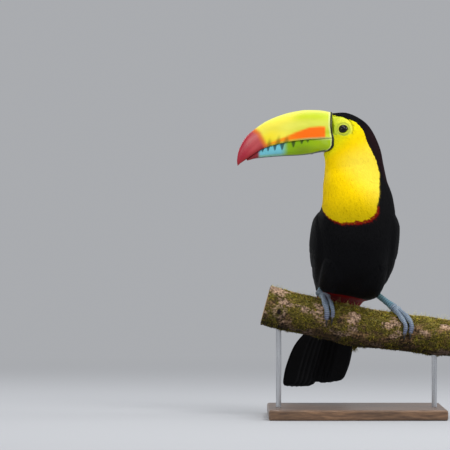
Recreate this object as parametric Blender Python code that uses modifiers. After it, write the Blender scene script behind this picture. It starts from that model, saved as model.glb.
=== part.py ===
"""A keel-billed toucan, perched on a cut length of branch that a plain display stand holds up.

The numbers are millimetres, and every shape is scaled to metres as it is built. The origin is on the
underside of the stand's base, below the middle of the perch. The bird's breast faces -Y, its head is turned
to its own right, towards -X, and +Z is up. "Left" and "right" in names are the bird's own sides.
"""

import math

import bmesh
import bpy
import numpy as np
from mathutils import Vector

MM = 0.001
GAP = 0.3  # clearance between neighbouring pieces
LOOSE_GAP = 1.6  # clearance between curved faces whose facets don't match

# Perch: a gently bent branch that runs along X and falls to the right.
PERCH_LEFT, PERCH_RIGHT = -122.0, 128.0
PERCH_HEIGHT = 123.0
PERCH_FALL = 0.18
PERCH_BEND = 0.00038
PERCH_RADIUS = 25.0
PERCH_TAPER = 0.012
# Swellings in the bark: place along X, angle round from the top, height, spread along X, spread in degrees.
PERCH_SWELLINGS = (
    (-98, 120, 2.6, 16, 50), (-70, -80, 2.2, 20, 60), (-12, 60, 1.6, 18, 45), (8, 170, 2.6, 24, 60),
    (28, -100, 2.4, 18, 55), (92, 40, 2.2, 16, 50), (106, -130, 2.8, 20, 60), (-20, -150, 1.8, 16, 50),
)

# Display stand.
BASE_SIZE = (236.0, 196.0, 14.0)
BASE_BACK_SHIFT = 22.0
BASE_CORNER = 3.0
ROD_RADIUS = 3.5
ROD_SOCKET = 7.0
ROD_PLACES = {"stand_rod_left": -104.0, "stand_rod_right": 104.0}

# The body is a loft. Each station has the point on the belly's midline, the point on the back's midline,
# the half width between them, and how far the sides lie behind the plane through those two points.
STATIONS = {
    "face": ((-44.5, -24, 351.5), (-34.6, -24, 406.0), 20.0, 8.0),
    "eye": ((-43.5, -24, 348.0), (-11, -24, 405.6), 23.0, 4.0),
    "ear": ((-42.8, -24.5, 342.5), (13.8, -24, 390.8), 25.5, 1.0),
    "nape": ((-42.6, -26, 335.0), (28.8, -22, 363.8), 29.0, 0.0),
    "throat": ((-42.8, -31, 325.0), (34.0, -15, 339.5), 33.0, 0.0),
    "neck": ((-40.5, -47, 307.5), (34.5, -2, 315.5), 37.5, 0.0),
    "bib": ((-28.5, -65, 281.0), (28.5, 13, 293.0), 46.5, 0.0),
    "shoulder": ((-9.5, -79, 253.0), (7.5, 25, 272.0), 52.5, 0.0),
    "chest": ((-1.5, -82, 226.0), (-5.5, 35, 247.0), 53.0, 0.0),
    "belly": ((-3.0, -70, 195.0), (-10.0, 46, 219.0), 50.0, 0.0),
    "flank": ((-9.0, -38, 171.0), (-16.0, 56, 190.0), 41.5, 0.0),
    "vent": ((-17.0, 12, 160.0), (-22.0, 67, 165.0), 31.0, 0.0),
    "crissum": ((-27.0, 50, 138.0), (-30.0, 78, 143.0), 25.5, 0.0),
    "tail_root": ((-36.0, 75, 111.0), (-37.0, 87, 117.0), 22.0, 0.0),
}
BODY_SIDES = 28
FACE_HOLLOW = 10.0  # how far the middle of the head's front is sunk, for the base of the bill
BODY_FULLNESS = 0.9  # below 1 the sections are squarer than ellipses
# Node name: first station, last station and rings. The cuts lie where the feathers hide them.
BODY_PARTS = {
    "head": (0.0, 3.3, 10),
    "neck": (3.3, 6.4, 8),
    "trunk": (6.4, 11.0, 17),
    "tail_coverts": (11.0, 13.0, 6),
}

# Folded wings: shells on the sides of the trunk, from the wrist to the wing tip.
WING_STATIONS = (6.6, 12.7)
WING_LOW_EDGE = (84, 64, 60, 69, 90, 118, 148)  # degrees round from the belly's midline
WING_HIGH_EDGE = (100, 142, 162, 169, 171, 172, 166)
WING_THICKNESS = (2.5, 5.2, 6.6, 6.1, 5.1, 4.0, 2.0)
WING_EDGE = 1.6

# Thighs: the feathered bulges low on the belly that the legs come out of.
THIGH_STATIONS = (8.6, 10.85)
THIGH_LOW_EDGE = (40, 20, 12, 14, 32)
THIGH_HIGH_EDGE = (48, 56, 61, 62, 50)
THIGH_THICKNESS = (1.0, 5.0, 9.0, 9.5, 3.0)
THIGH_EDGE = 1.0

# Tail: a slightly spread fan.
TAIL_ROOT = (-37.3, 82.5, 111.9)
TAIL_TIP = (-56.5, 144.0, 35.5)
TAIL_LEFT = (0.93, 0.37, 0.0)
TAIL_HALF_WIDTHS = (34.0, 42.0, 45.6, 47.6, 46.0, 42.5, 35.0)
TAIL_PLACES = (0.0, 0.14, 0.32, 0.62, 0.84, 0.94, 1.0)
TAIL_THICKNESS = (7.0, 2.4)
TAIL_ARCH = 5.0

# Bill: culmen, cutting edge and half width from the base to the tip, then the lower jaw's keel.
BILL_Y = -24.0
CULMEN = (
    (-35.5, 406.8), (-46, 409.3), (-58, 410.1), (-74, 409.6), (-96.5, 404.9), (-119.5, 395.8),
    (-136.5, 384.6), (-148.5, 373.4), (-156.7, 358.6), (-159.6, 344.5), (-158.9, 336.0),
)
CUTTING_EDGE = (
    (-33.0, 371.8), (-44, 371.8), (-56, 371.2), (-70, 370.4), (-90, 368.2), (-109, 364.2),
    (-124, 359.6), (-136, 352.2), (-147, 344.9), (-154.5, 339.8), (-158.1, 336.6),
)
BILL_HALF_WIDTHS = (18.2, 18.2, 18.0, 17.4, 15.8, 13.6, 11.2, 8.8, 5.6, 2.8, 0.8)
KEEL = (
    (-44.5, 354.6), (-51, 353.6), (-62, 351.4), (-77, 349.8), (-97, 348.9),
    (-113, 347.8), (-125.5, 346.8), (-136.5, 345.4), (-146, 342.9),
)
LOWER_HALF_WIDTHS = (17.2, 17.0, 16.4, 15.4, 13.6, 11.6, 9.2, 6.2, 1.6)
JAW_GAP = 0.4

# Eyes: the eyeball's centre is this far inside the side of the head.
EYE_PLACE = (-19.1, 384.2)
EYE_RADIUS = 6.8
EYE_DEPTH = 4.3

# Legs: the two ends of each tarsus, and each toe's route over the bark: places along X, degrees from the top.
LEGS = {
    "right": {
        "heel": (-42, 27, 182),
        "foot": (-49, -1, 166.0),
        "toes": {
            "front_outer": ((-51.8, 8), (-47.6, 38), (-42.6, 66), (-40.9, 88)),
            "front_inner": ((-44.2, 8), (-39.6, 36), (-35, 62), (-34.2, 80)),
            "back_outer": ((-51.8, -15), (-55, -45), (-58, -72), (-59, -90)),
            "back_inner": ((-44.4, -15), (-45, -38), (-46, -58), (-47, -70)),
        },
    },
    "left": {
        "heel": (21, 22, 170),
        "foot": (50, -1, 147.0),
        "toes": {
            "front_outer": ((53.0, 8), (64.0, 37), (70.8, 63), (70.6, 87)),
            "front_inner": ((45.0, 9), (55.6, 41), (63, 67), (63, 92)),
            "back_outer": ((52.8, -15), (58, -45), (63, -72), (64, -90)),
            "back_inner": ((45.4, -15), (43, -38), (40, -58), (39, -70)),
        },
    },
}
TARSUS_RADII = (5.0, 4.1, 4.2, 5.6)
TOE_RADII = (3.4, 3.0, 2.7, 2.4)
CLAW_LENGTH = 24.0  # degrees round the perch
CLAW_RADII = (2.2, 1.9, 1.2, 0.4)

COLOURS = {
    "plumage_black": ((0.010, 0.010, 0.012), 0.6, 0.0),
    "plumage_yellow": ((0.90, 0.68, 0.02), 0.7, 0.0),
    "bill": ((0.72, 0.80, 0.10), 0.35, 0.0),
    "eye": ((0.02, 0.022, 0.012), 0.08, 0.0),
    "leg_skin": ((0.22, 0.40, 0.50), 0.5, 0.0),
    "claw": ((0.05, 0.045, 0.04), 0.35, 0.0),
    "bark": ((0.20, 0.17, 0.07), 0.9, 0.0),
    "stand_wood": ((0.20, 0.12, 0.07), 0.45, 0.0),
    "stand_steel": ((0.55, 0.56, 0.58), 0.3, 1.0),
}


def clear_scene():
    for obj in list(bpy.data.objects):
        bpy.data.objects.remove(obj)


def new_collection(name):
    collection = bpy.data.collections.new(name)
    bpy.context.scene.collection.children.link(collection)
    return collection


def make_material(name):
    colour, roughness, metallic = COLOURS[name]
    material = bpy.data.materials.new(name)
    material.use_nodes = True
    shader = material.node_tree.nodes["Principled BSDF"]
    shader.inputs["Base Color"].default_value = (*colour, 1.0)
    shader.inputs["Roughness"].default_value = roughness
    shader.inputs["Metallic"].default_value = metallic
    material.diffuse_color = (*colour, 1.0)
    return material


def spline(points, place):
    """The point at a place, in steps from 0, on a smooth curve through the points."""
    points = np.asarray(points, float)
    last = len(points) - 1
    place = min(max(place, 0.0), float(last))
    i = min(int(place), last - 1)
    f = place - i
    before = points[i - 1] if i > 0 else 2 * points[i] - points[i + 1]
    after = points[i + 2] if i + 2 <= last else 2 * points[i + 1] - points[i]
    a, b = points[i], points[i + 1]
    return 0.5 * (
        2 * a + (b - before) * f + (2 * before - 5 * a + 4 * b - after) * f**2
        + (3 * a - before - 3 * b + after) * f**3
    )


def unit(vector):
    return vector / np.linalg.norm(vector)


def mesh_object(name, rings, material, collection, centres=(None, None)):
    """A closed solid through rings of points. Each end is a fan round the middle of its ring."""
    bm = bmesh.new()
    rows = [[bm.verts.new(Vector(p) * MM) for p in ring] for ring in rings]
    sides = len(rows[0])
    for row, following in zip(rows, rows[1:]):
        for i in range(sides):
            j = (i + 1) % sides
            bm.faces.new((row[i], row[j], following[j], following[i]))
    for row, ring, centre in ((rows[0], rings[0], centres[0]), (rows[-1], rings[-1], centres[1])):
        middle = bm.verts.new(Vector(np.mean(ring, axis=0) if centre is None else centre) * MM)
        for i in range(sides):
            bm.faces.new((row[i], row[(i + 1) % sides], middle))
    bmesh.ops.recalc_face_normals(bm, faces=bm.faces)
    return finish_object(name, bm, material, collection)


def finish_object(name, bm, material, collection):
    mesh = bpy.data.meshes.new(name)
    bm.to_mesh(mesh)
    bm.free()
    mesh.shade_smooth()
    mesh.set_sharp_from_angle(angle=math.radians(50))
    obj = bpy.data.objects.new(name, mesh)
    if material:
        obj.data.materials.append(material)
    else:
        obj.hide_render = True
        obj.display_type = "WIRE"
    collection.objects.link(obj)
    return obj


def cut(obj, cutter):
    modifier = obj.modifiers.new("cut_" + cutter.name, "BOOLEAN")
    modifier.operation = "DIFFERENCE"
    modifier.object = cutter


# ---------------------------------------------------------------- body

def body_section(place):
    """Belly point, back point, half width and side setback at a place along the body."""
    rows = list(STATIONS.values())
    belly = spline([r[0] for r in rows], place)
    back = spline([r[1] for r in rows], place)
    width, setback = spline([r[2:] for r in rows], place)
    return belly, back, width, setback


def body_axes(place):
    """Middle of the section, its direction along the body and its direction to the bird's left."""
    step = 0.05
    middles = [np.mean(body_section(place + d)[:2], axis=0) for d in (-step, step)]
    along = unit(middles[1] - middles[0])
    belly, back, _, _ = body_section(place)
    left = unit(np.cross(unit(belly - back), along))
    return (belly + back) / 2, along, left


def body_point(place, angle, grow=0.0):
    """A point on the body, at an angle round from the belly's midline towards the bird's left."""
    belly, back, width, setback = body_section(place)
    middle, along, left = body_axes(place)
    depth = unit(belly - back) * (np.linalg.norm(belly - back) / 2 + grow)
    side = math.copysign(abs(math.sin(angle)) ** BODY_FULLNESS, math.sin(angle))
    return middle + depth * math.cos(angle) + left * (width + grow) * side + along * setback * side**2


def body_ring(place, grow=0.0, shift=0.0, sides=BODY_SIDES):
    """A ring round the body, moved along it by shift."""
    along = body_axes(place)[1]
    return [body_point(place, 2 * math.pi * i / sides, grow) + along * shift for i in range(sides)]


def body_rings(first, last, count, grow=0.0):
    rings = [body_ring(first + (last - first) * i / (count - 1), grow) for i in range(count)]
    rings[0] = body_ring(first, grow, GAP / 2)
    rings[-1] = body_ring(last, grow, -GAP / 2)
    return rings


def make_body(materials, model):
    parts = {}
    for name, (first, last, count) in BODY_PARTS.items():
        colour = "plumage_yellow" if name in ("head", "neck") else "plumage_black"
        rings = body_rings(first, last, count)
        sunk = np.mean(rings[0], axis=0) + body_axes(first)[1] * FACE_HOLLOW if name == "head" else None
        parts[name] = mesh_object(name, rings, materials[colour], model, (sunk, None))
    return parts


def make_patch(name, stations, low_edge, high_edge, thickness, edge, counts, mirror, material, collection):
    """A solid that lies on the body: its inner face follows the body, and its outer face stands off it."""
    first, last = stations
    lengthwise, across = counts
    rings = []
    for i in range(lengthwise + 1):
        share = (1 - math.cos(math.pi * i / lengthwise)) / 2
        rows = (low_edge, high_edge, thickness)
        low, high, thick = (float(spline([[v] for v in row], share * (len(row) - 1))[0]) for row in rows)
        outer, inner = [], []
        for j in range(across + 1):
            v = j / across
            angle = mirror * math.radians(low + (high - low) * v)
            stand_off = edge + max(thick - edge, 0.0) * (1 - abs(2 * v - 1) ** 2.5)
            station = first + (last - first) * share
            outer.append(body_point(station, angle, LOOSE_GAP + stand_off))
            inner.append(body_point(station, angle, LOOSE_GAP))
        rings.append(outer + inner[::-1])
    return mesh_object(name, rings, material, collection)


def make_wing(side, materials, model):
    mirror = 1 if side == "left" else -1
    return make_patch(
        f"wing_{side}", WING_STATIONS, WING_LOW_EDGE, WING_HIGH_EDGE, WING_THICKNESS, WING_EDGE, (16, 7),
        mirror, materials["plumage_black"], model,
    )


def make_thigh(side, materials, model):
    mirror = 1 if side == "left" else -1
    return make_patch(
        f"thigh_{side}", THIGH_STATIONS, THIGH_LOW_EDGE, THIGH_HIGH_EDGE, THIGH_THICKNESS, THIGH_EDGE, (8, 6),
        mirror, materials["plumage_black"], model,
    )


def make_tail(materials, model):
    """A flattened fan, thick at the root and thin at the tip, arched like a shallow roof."""
    root, tip = np.array(TAIL_ROOT), np.array(TAIL_TIP)
    along = unit(tip - root)
    left = np.array(TAIL_LEFT)
    left = unit(left - along * (left @ along))
    up = unit(np.cross(left, along))
    across = np.linspace(-1, 1, 7)[:, None]
    bend = 1 - across**2
    rings = []
    for share, half_width in zip(TAIL_PLACES, TAIL_HALF_WIDTHS):
        thickness = TAIL_THICKNESS[0] + (TAIL_THICKNESS[1] - TAIL_THICKNESS[0]) * min(1.0, share * 1.4)
        middle = root + (tip - root) * share + left * half_width * across + up * TAIL_ARCH * bend
        half_thickness = up * thickness / 2 * (0.35 + 0.65 * bend)
        rings.append([*(middle + half_thickness), *(middle - half_thickness)[::-1]])
    return mesh_object("tail", rings, materials["plumage_black"], model)


# ---------------------------------------------------------------- head

def face_x(z):
    """Where the front of the head lies at a height, for the base of the bill to follow."""
    belly, back, _, setback = next(iter(STATIONS.values()))
    middle, half = (belly[2] + back[2]) / 2, (back[2] - belly[2]) / 2
    height = min(max((z - middle) / half, -1.0), 1.0)
    sunk = setback * (1 - height**2) ** BODY_FULLNESS
    return (belly[0] + back[0]) / 2 + (back[0] - belly[0]) / 2 * height + sunk


def jaw_half_ring(edge, ridge, half_width, fullness, count=7):
    """Points from one cutting edge over the ridge to the other."""
    points = []
    for i in range(count * 2 + 1):
        angle = math.pi * i / (count * 2)
        across, rise = math.cos(angle), math.sin(angle) ** fullness
        x = edge[0] + (ridge[0] - edge[0]) * rise
        z = edge[1] + (ridge[1] - edge[1]) * rise
        y = BILL_Y + half_width * math.copysign(abs(across) ** 0.75, across)
        points.append(np.array((x, y, z)))
    return points


def make_jaw(name, ridge, edges, half_widths, fullness, drop, materials, model):
    steps = len(ridge) - 1
    rings = []
    for i in range(2 * steps + 1):
        place = i / 2
        x, z = spline(edges, place)
        half_width = float(spline([[w] for w in half_widths], place)[0])
        rings.append(jaw_half_ring((x, z - drop), spline(ridge, place), half_width, fullness))
    rings[0] = [np.array((face_x(p[2]) - 2 * GAP, p[1], p[2])) for p in rings[0]]
    return mesh_object(name, rings, materials["bill"], model)


def make_bill(materials, model):
    make_jaw("bill_upper", CULMEN, CUTTING_EDGE, BILL_HALF_WIDTHS, 0.85, 0.0, materials, model)
    lower_edges = CUTTING_EDGE[: len(KEEL)]
    make_jaw("bill_lower", KEEL, lower_edges, LOWER_HALF_WIDTHS, 0.8, JAW_GAP, materials, model)


def side_of_head(x, z, mirror):
    """The Y of the head's side at a place in profile, found by scanning the loft."""
    best, found = None, None
    for place in np.linspace(0.2, 2.2, 41):
        for angle in np.radians(np.linspace(50, 150, 51)):
            point = body_point(place, mirror * angle)
            miss = (point[0] - x) ** 2 + (point[2] - z) ** 2
            if best is None or miss < best:
                best, found = miss, point
    return found[1]


def sphere(name, centre, radius, segments, rings, material, collection):
    bm = bmesh.new()
    bmesh.ops.create_uvsphere(bm, u_segments=segments, v_segments=rings, radius=radius * MM)
    obj = finish_object(name, bm, material, collection)
    obj.location = Vector(centre) * MM
    obj.rotation_euler = (math.pi / 2, 0, 0)
    return obj


def make_eyes(head, materials, model, cutters):
    x, z = EYE_PLACE
    for side, mirror in (("left", 1), ("right", -1)):
        y = side_of_head(x, z, mirror)
        inwards = 1 if y < BILL_Y else -1
        centre = (x, y + inwards * EYE_DEPTH, z)
        sphere(f"eye_{side}", centre, EYE_RADIUS, 16, 10, materials["eye"], model)
        cut(head, sphere(f"socket_{side}", centre, EYE_RADIUS + 2 * GAP, 16, 10, None, cutters))


# ---------------------------------------------------------------- perch and legs

def perch_centre(x):
    return np.array((x, 0.0, PERCH_HEIGHT - PERCH_FALL * x + PERCH_BEND * x**2))


def perch_radius(x, angle=0.0):
    radius = PERCH_RADIUS - PERCH_TAPER * x
    for place, direction, height, reach, spread in PERCH_SWELLINGS:
        turn = (angle - direction + 180) % 360 - 180
        radius += height * math.exp(-(((x - place) / reach) ** 2) - (turn / spread) ** 2)
    return radius


def perch_point(x, angle, lift=0.0):
    """A point over the bark, at an angle in degrees round from the top towards the bird's front."""
    slope = -PERCH_FALL + 2 * PERCH_BEND * x
    up = unit(np.array((-slope, 0.0, 1.0)))
    front = np.array((0.0, -1.0, 0.0))
    turn = math.radians(angle)
    return perch_centre(x) + (perch_radius(x, angle) + lift) * (math.cos(turn) * up + math.sin(turn) * front)


def make_perch(materials, model, cutters):
    count, sides = 19, 22
    rings = []
    for i in range(count):
        x = PERCH_LEFT + (PERCH_RIGHT - PERCH_LEFT) * i / (count - 1)
        rings.append([perch_point(x, 360 * j / sides) for j in range(sides)])
    perch = mesh_object("perch", rings, materials["bark"], model)
    for name, x in ROD_PLACES.items():
        cut(perch, rod("socket_" + name, x, GAP, ROD_RADIUS + GAP, None, cutters))


def tube_rings(centres, radii, sides=8):
    """Rings square to a path. The path's own plane sets where each ring starts, so that none twists."""
    centres = [np.asarray(c, float) for c in centres]
    rings = []
    across = None
    for i, centre in enumerate(centres):
        along = unit(centres[min(i + 1, len(centres) - 1)] - centres[max(i - 1, 0)])
        guess = np.array((1.0, 0.0, 0.0)) if across is None else across
        across = unit(guess - along * (guess @ along))
        upward = np.cross(along, across)
        turns = [2 * math.pi * (j + 0.5) / sides for j in range(sides)]
        rings.append([centre + radii[i] * (math.cos(a) * across + math.sin(a) * upward) for a in turns])
    return rings


def sampled(values, count):
    values = [np.atleast_1d(np.asarray(v, float)) for v in values]
    return [spline(values, (len(values) - 1) * i / (count - 1)) for i in range(count)]


def make_tube(name, path, radii, count, sides, material, collection, grow=0.0):
    centres = sampled(path, count)
    thickness = [float(r[0]) + grow for r in sampled(radii, count)]
    return mesh_object(name, tube_rings(centres, thickness, sides), material, collection)


def make_toe(name, route, materials, model, clearance):
    """A toe that lies on the bark, and its claw, which runs on from the toe's end."""
    count = 8
    places = sampled(route, count)
    radii = [float(r[0]) for r in sampled(TOE_RADII, count)]
    centres = [perch_point(p[0], p[1], r + GAP) for p, r in zip(places, radii)]
    toe = mesh_object(name, tube_rings(centres, radii), materials["leg_skin"], model)
    cut(toe, clearance)
    end, before = np.array(route[-1], float), np.array(route[-2], float)
    heading = (end - before) / abs(end[1] - before[1])
    start_turn = math.degrees(2.2 * GAP / (PERCH_RADIUS + TOE_RADII[-1]))
    claw_count = 5
    claw_radii = [float(r[0]) for r in sampled(CLAW_RADII, claw_count)]
    claw = []
    for i in range(claw_count):
        x, angle = end + heading * (start_turn + CLAW_LENGTH * i / (claw_count - 1))
        arch = 1.6 * math.sin(math.pi * i / (claw_count - 1))
        claw.append(perch_point(x, angle, claw_radii[i] + GAP + arch))
    mesh_object(name.replace("toe", "claw"), tube_rings(claw, claw_radii, 6), materials["claw"], model)


def make_limbs(materials, model, cutters, body_clearance):
    skin = materials["leg_skin"]
    for side, leg in LEGS.items():
        heel, foot = np.array(leg["heel"], float), np.array(leg["foot"], float)
        path = [heel + (foot - heel) * share for share in (0.0, 0.33, 0.7, 1.0)]
        tarsus = make_tube(f"tarsus_{side}", path, TARSUS_RADII, 7, 10, skin, model)
        cut(tarsus, body_clearance)
        clearance = make_tube(f"clear_tarsus_{side}", path, TARSUS_RADII, 7, 10, None, cutters, 2 * GAP)
        cut(make_thigh(side, materials, model), clearance)
        cut(make_wing(side, materials, model), clearance)
        for toe, route in leg["toes"].items():
            make_toe(f"toe_{toe}_{side}", route, materials, model, clearance)


# ---------------------------------------------------------------- stand

def rod(name, x, lowest, radius, material, collection):
    """An upright rod from the base into the underside of the perch."""
    bottom = BASE_SIZE[2] + lowest
    top = perch_centre(x)[2] - perch_radius(x, 180) + ROD_SOCKET + (0.0 if material else GAP)
    bm = bmesh.new()
    bmesh.ops.create_cone(
        bm, cap_ends=True, segments=16, radius1=radius * MM, radius2=radius * MM, depth=(top - bottom) * MM
    )
    obj = finish_object(name, bm, material, collection)
    obj.location = Vector((x, 0.0, (bottom + top) / 2)) * MM
    return obj


def make_stand(materials, model):
    width, depth, height = BASE_SIZE
    bm = bmesh.new()
    bmesh.ops.create_cube(bm, size=1.0)
    bmesh.ops.scale(bm, vec=(width * MM, depth * MM, height * MM), verts=bm.verts)
    base = finish_object("stand_base", bm, materials["stand_wood"], model)
    base.location = Vector((0.0, BASE_BACK_SHIFT, height / 2)) * MM
    rounding = base.modifiers.new("rounded edges", "BEVEL")
    rounding.width = BASE_CORNER * MM
    rounding.segments = 3
    for name, x in ROD_PLACES.items():
        rod(name, x, GAP, ROD_RADIUS, materials["stand_steel"], model)


def main():
    clear_scene()
    model = new_collection("keel_billed_toucan")
    cutters = new_collection("cutters")
    materials = {name: make_material(name) for name in COLOURS}
    body = make_body(materials, model)
    make_bill(materials, model)
    make_eyes(body["head"], materials, model, cutters)
    make_tail(materials, model)
    make_perch(materials, model, cutters)
    last = len(STATIONS) - 1.0
    body_clearance = mesh_object("clear_body", body_rings(0.0, last, 36, LOOSE_GAP), None, cutters)
    make_limbs(materials, model, cutters, body_clearance)
    make_stand(materials, model)


main()
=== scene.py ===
"""Looks of the keel-billed toucan: skin, feathers, bill, eyes, feet, mossy perch, stand and studio.

Lengths are millimetres until a mesh is made. The body's stations, the perch and the toes' routes are those of
the solids, so each piece lies where its solid does. A place on the body is (station, angle): the station
counts from 0 at the base of the bill to 13 at the root of the tail, and the angle goes round from the belly's
midline, positive to the bird's left. Random draws are seeded.
"""

import math

import bpy
import numpy as np
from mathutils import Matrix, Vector, noise
from mathutils.bvhtree import BVHTree


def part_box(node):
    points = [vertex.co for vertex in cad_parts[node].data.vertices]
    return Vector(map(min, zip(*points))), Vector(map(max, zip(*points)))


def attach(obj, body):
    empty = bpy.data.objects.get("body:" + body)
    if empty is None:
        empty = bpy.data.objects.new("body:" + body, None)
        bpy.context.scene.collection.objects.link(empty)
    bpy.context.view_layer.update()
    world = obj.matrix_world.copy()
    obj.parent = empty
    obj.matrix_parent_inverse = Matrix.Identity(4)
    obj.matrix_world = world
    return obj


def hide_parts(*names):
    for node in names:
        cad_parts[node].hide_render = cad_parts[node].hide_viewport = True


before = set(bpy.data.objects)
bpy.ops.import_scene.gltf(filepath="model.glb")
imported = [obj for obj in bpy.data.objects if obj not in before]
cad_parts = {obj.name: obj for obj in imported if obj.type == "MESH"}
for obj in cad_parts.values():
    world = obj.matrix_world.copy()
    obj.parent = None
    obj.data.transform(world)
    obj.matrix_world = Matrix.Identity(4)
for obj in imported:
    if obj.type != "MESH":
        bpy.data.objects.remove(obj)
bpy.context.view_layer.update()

MM = 0.001
SEED = 7

# ---------------------------------------------------------------- shape of the solids

# Belly point, back point, half width and side setback.
STATIONS = np.array([
    (-44.5, -24, 351.5, -34.6, -24, 406.0, 20.0, 8.0),
    (-43.5, -24, 348.0, -11.0, -24, 405.6, 23.0, 4.0),
    (-42.8, -24.5, 342.5, 13.8, -24, 390.8, 25.5, 1.0),
    (-42.6, -26, 335.0, 28.8, -22, 363.8, 29.0, 0.0),
    (-42.8, -31, 325.0, 34.0, -15, 339.5, 33.0, 0.0),
    (-40.5, -47, 307.5, 34.5, -2, 315.5, 37.5, 0.0),
    (-28.5, -65, 281.0, 28.5, 13, 293.0, 46.5, 0.0),
    (-9.5, -79, 253.0, 7.5, 25, 272.0, 52.5, 0.0),
    (-1.5, -82, 226.0, -5.5, 35, 247.0, 53.0, 0.0),
    (-3.0, -70, 195.0, -10.0, 46, 219.0, 50.0, 0.0),
    (-9.0, -38, 171.0, -16.0, 56, 190.0, 41.5, 0.0),
    (-17.0, 12, 160.0, -22.0, 67, 165.0, 31.0, 0.0),
    (-27.0, 50, 138.0, -30.0, 78, 143.0, 25.5, 0.0),
    (-36.0, 75, 111.0, -37.0, 87, 117.0, 22.0, 0.0),
    (-40.2, 90.0, 95.0, -43.2, 97.6, 102.1, 24.0, 0.0),
])
BODY_END = 13.0
BODY_FULLNESS = 0.9
LOOSE_GAP = 1.6
SKIN_UNDER_WING = 0.85  # how much of a wing's rise the skin follows
# A wing and a thigh: first and last station, then their edges' angles and their thickness along them.
WING_STATIONS = (6.6, 12.7)
WING_LOW_EDGE = (84, 64, 60, 69, 90, 118, 148)
WING_HIGH_EDGE = (100, 142, 162, 169, 171, 172, 166)
WING_THICKNESS = (2.5, 5.2, 6.6, 6.1, 5.1, 4.0, 2.0)
THIGH_STATIONS = (8.6, 10.85)
THIGH_LOW_EDGE = (40, 20, 12, 14, 32)
THIGH_HIGH_EDGE = (48, 56, 61, 62, 50)
THIGH_THICKNESS = (1.0, 5.0, 9.0, 9.5, 3.0)

# The bill seen from the side, as X and Z, with its half widths at the same places.
BILL_Y = -24.0
CULMEN = (
    (-35.5, 406.8), (-46, 409.3), (-58, 410.1), (-74, 409.6), (-96.5, 404.9), (-119.5, 395.8),
    (-136.5, 384.6), (-148.5, 373.4), (-156.7, 358.6), (-159.6, 344.5), (-158.9, 336.0),
)
CUTTING_EDGE = (
    (-33.0, 371.8), (-44, 371.8), (-56, 371.2), (-70, 370.4), (-90, 368.2), (-109, 364.2),
    (-124, 359.6), (-136, 352.2), (-147, 344.9), (-154.5, 339.8), (-158.1, 336.6),
)
BILL_HALF_WIDTHS = (18.2, 18.2, 18.0, 17.4, 15.8, 13.6, 11.2, 8.8, 5.6, 2.8, 0.8)
KEEL = (
    (-44.5, 354.6), (-51, 353.6), (-62, 351.4), (-77, 349.8), (-97, 348.9),
    (-113, 347.8), (-125.5, 346.8), (-136.5, 345.4), (-146, 342.9),
)
LOWER_HALF_WIDTHS = (17.2, 17.0, 16.4, 15.4, 13.6, 11.6, 9.2, 6.2, 1.6)
JAW_GAP = 0.4
# Where the black line round the base of the bill runs: height and X.
BASE_LINE = (
    (350.5, -64.0), (351.8, -58.9), (353.4, -47.0), (356.2, -38.2), (359.5, -34.2), (363.0, -32.7),
    (371.7, -32.7), (380.0, -34.4), (388.1, -35.4), (397.0, -35.2), (406.0, -34.6), (411.0, -34.6),
)

TAIL_ROOT = (-37.3, 82.5, 111.9)
TAIL_TIP = (-56.5, 144.0, 35.5)
TAIL_LEFT = (0.93, 0.37, 0.0)
TAIL_ARCH = 5.0
# Half width of the tail, by share of the way from its root to its tip.
TAIL_SPREAD = (
    (-0.3, 16.0), (0.0, 34.0), (0.14, 42.0), (0.32, 45.6),
    (0.62, 47.6), (0.84, 46.0), (0.94, 44.8), (1.0, 43.5),
)
# How far the tail feathers reach, from the bird's right to its left: the two halves are slightly out of step.
TAIL_REACH = (
    (-1.0, 0.975), (-0.78, 1.005), (-0.33, 1.04), (-0.11, 1.045),
    (0.11, 0.955), (0.56, 0.978), (0.78, 0.978), (1.0, 0.945),
)

PERCH_LEFT, PERCH_RIGHT = -122.0, 128.0
PERCH_HEIGHT = 123.0
PERCH_FALL = 0.18
PERCH_BEND = 0.00038
PERCH_RADIUS = 25.0
PERCH_TAPER = 0.012
# Place, direction, height, length and spread in degrees.
PERCH_SWELLINGS = (
    (-98, 120, 2.6, 16, 50), (-70, -80, 2.2, 20, 60), (-12, 60, 1.6, 18, 45), (8, 170, 2.6, 24, 60),
    (28, -100, 2.4, 18, 55), (92, 40, 2.2, 16, 50), (106, -130, 2.8, 20, 60), (-20, -150, 1.8, 16, 50),
)

# Each toe's route over the bark: place along the perch and angle round it.
LEGS = {
    "right": {
        "heel": (-42, 27, 182),
        "foot": (-49, -1, 166.0),
        "toes": {
            "front_outer": ((-51.8, 8), (-47.6, 38), (-42.6, 66), (-40.9, 88)),
            "front_inner": ((-44.2, 8), (-39.6, 36), (-35, 62), (-34.2, 80)),
            "back_outer": ((-51.8, -15), (-55, -45), (-58, -72), (-59, -90)),
            "back_inner": ((-44.4, -15), (-45, -38), (-46, -58), (-47, -70)),
        },
    },
    "left": {
        "heel": (21, 22, 170),
        "foot": (50, -1, 147.0),
        "toes": {
            "front_outer": ((53.0, 8), (64.0, 37), (70.8, 63), (70.6, 87)),
            "front_inner": ((45.0, 9), (55.6, 41), (63, 67), (63, 92)),
            "back_outer": ((52.8, -15), (58, -45), (63, -72), (64, -90)),
            "back_inner": ((45.4, -15), (43, -38), (40, -58), (39, -70)),
        },
    },
}
TARSUS_RADII = (4.4, 5.0, 4.1, 4.2, 5.6)
TOE_RADII = (3.4, 3.0, 2.7, 2.4)
CLAW_LENGTH = 24.0
CLAW_RADII = (2.2, 1.9, 1.2, 0.4)
CLAW_SLIMNESS = 0.28


# ---------------------------------------------------------------- numbers, colours and curves

def smooth(x, low, high):
    """0 below low, 1 above high, and an easy step between."""
    s = np.clip((np.asarray(x, float) - low) / (high - low), 0, 1)
    return s * s * (3 - 2 * s)


def peak(x, centre, width):
    """A bell curve of height 1."""
    return np.exp(-(((x - centre) / width) ** 2))


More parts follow.
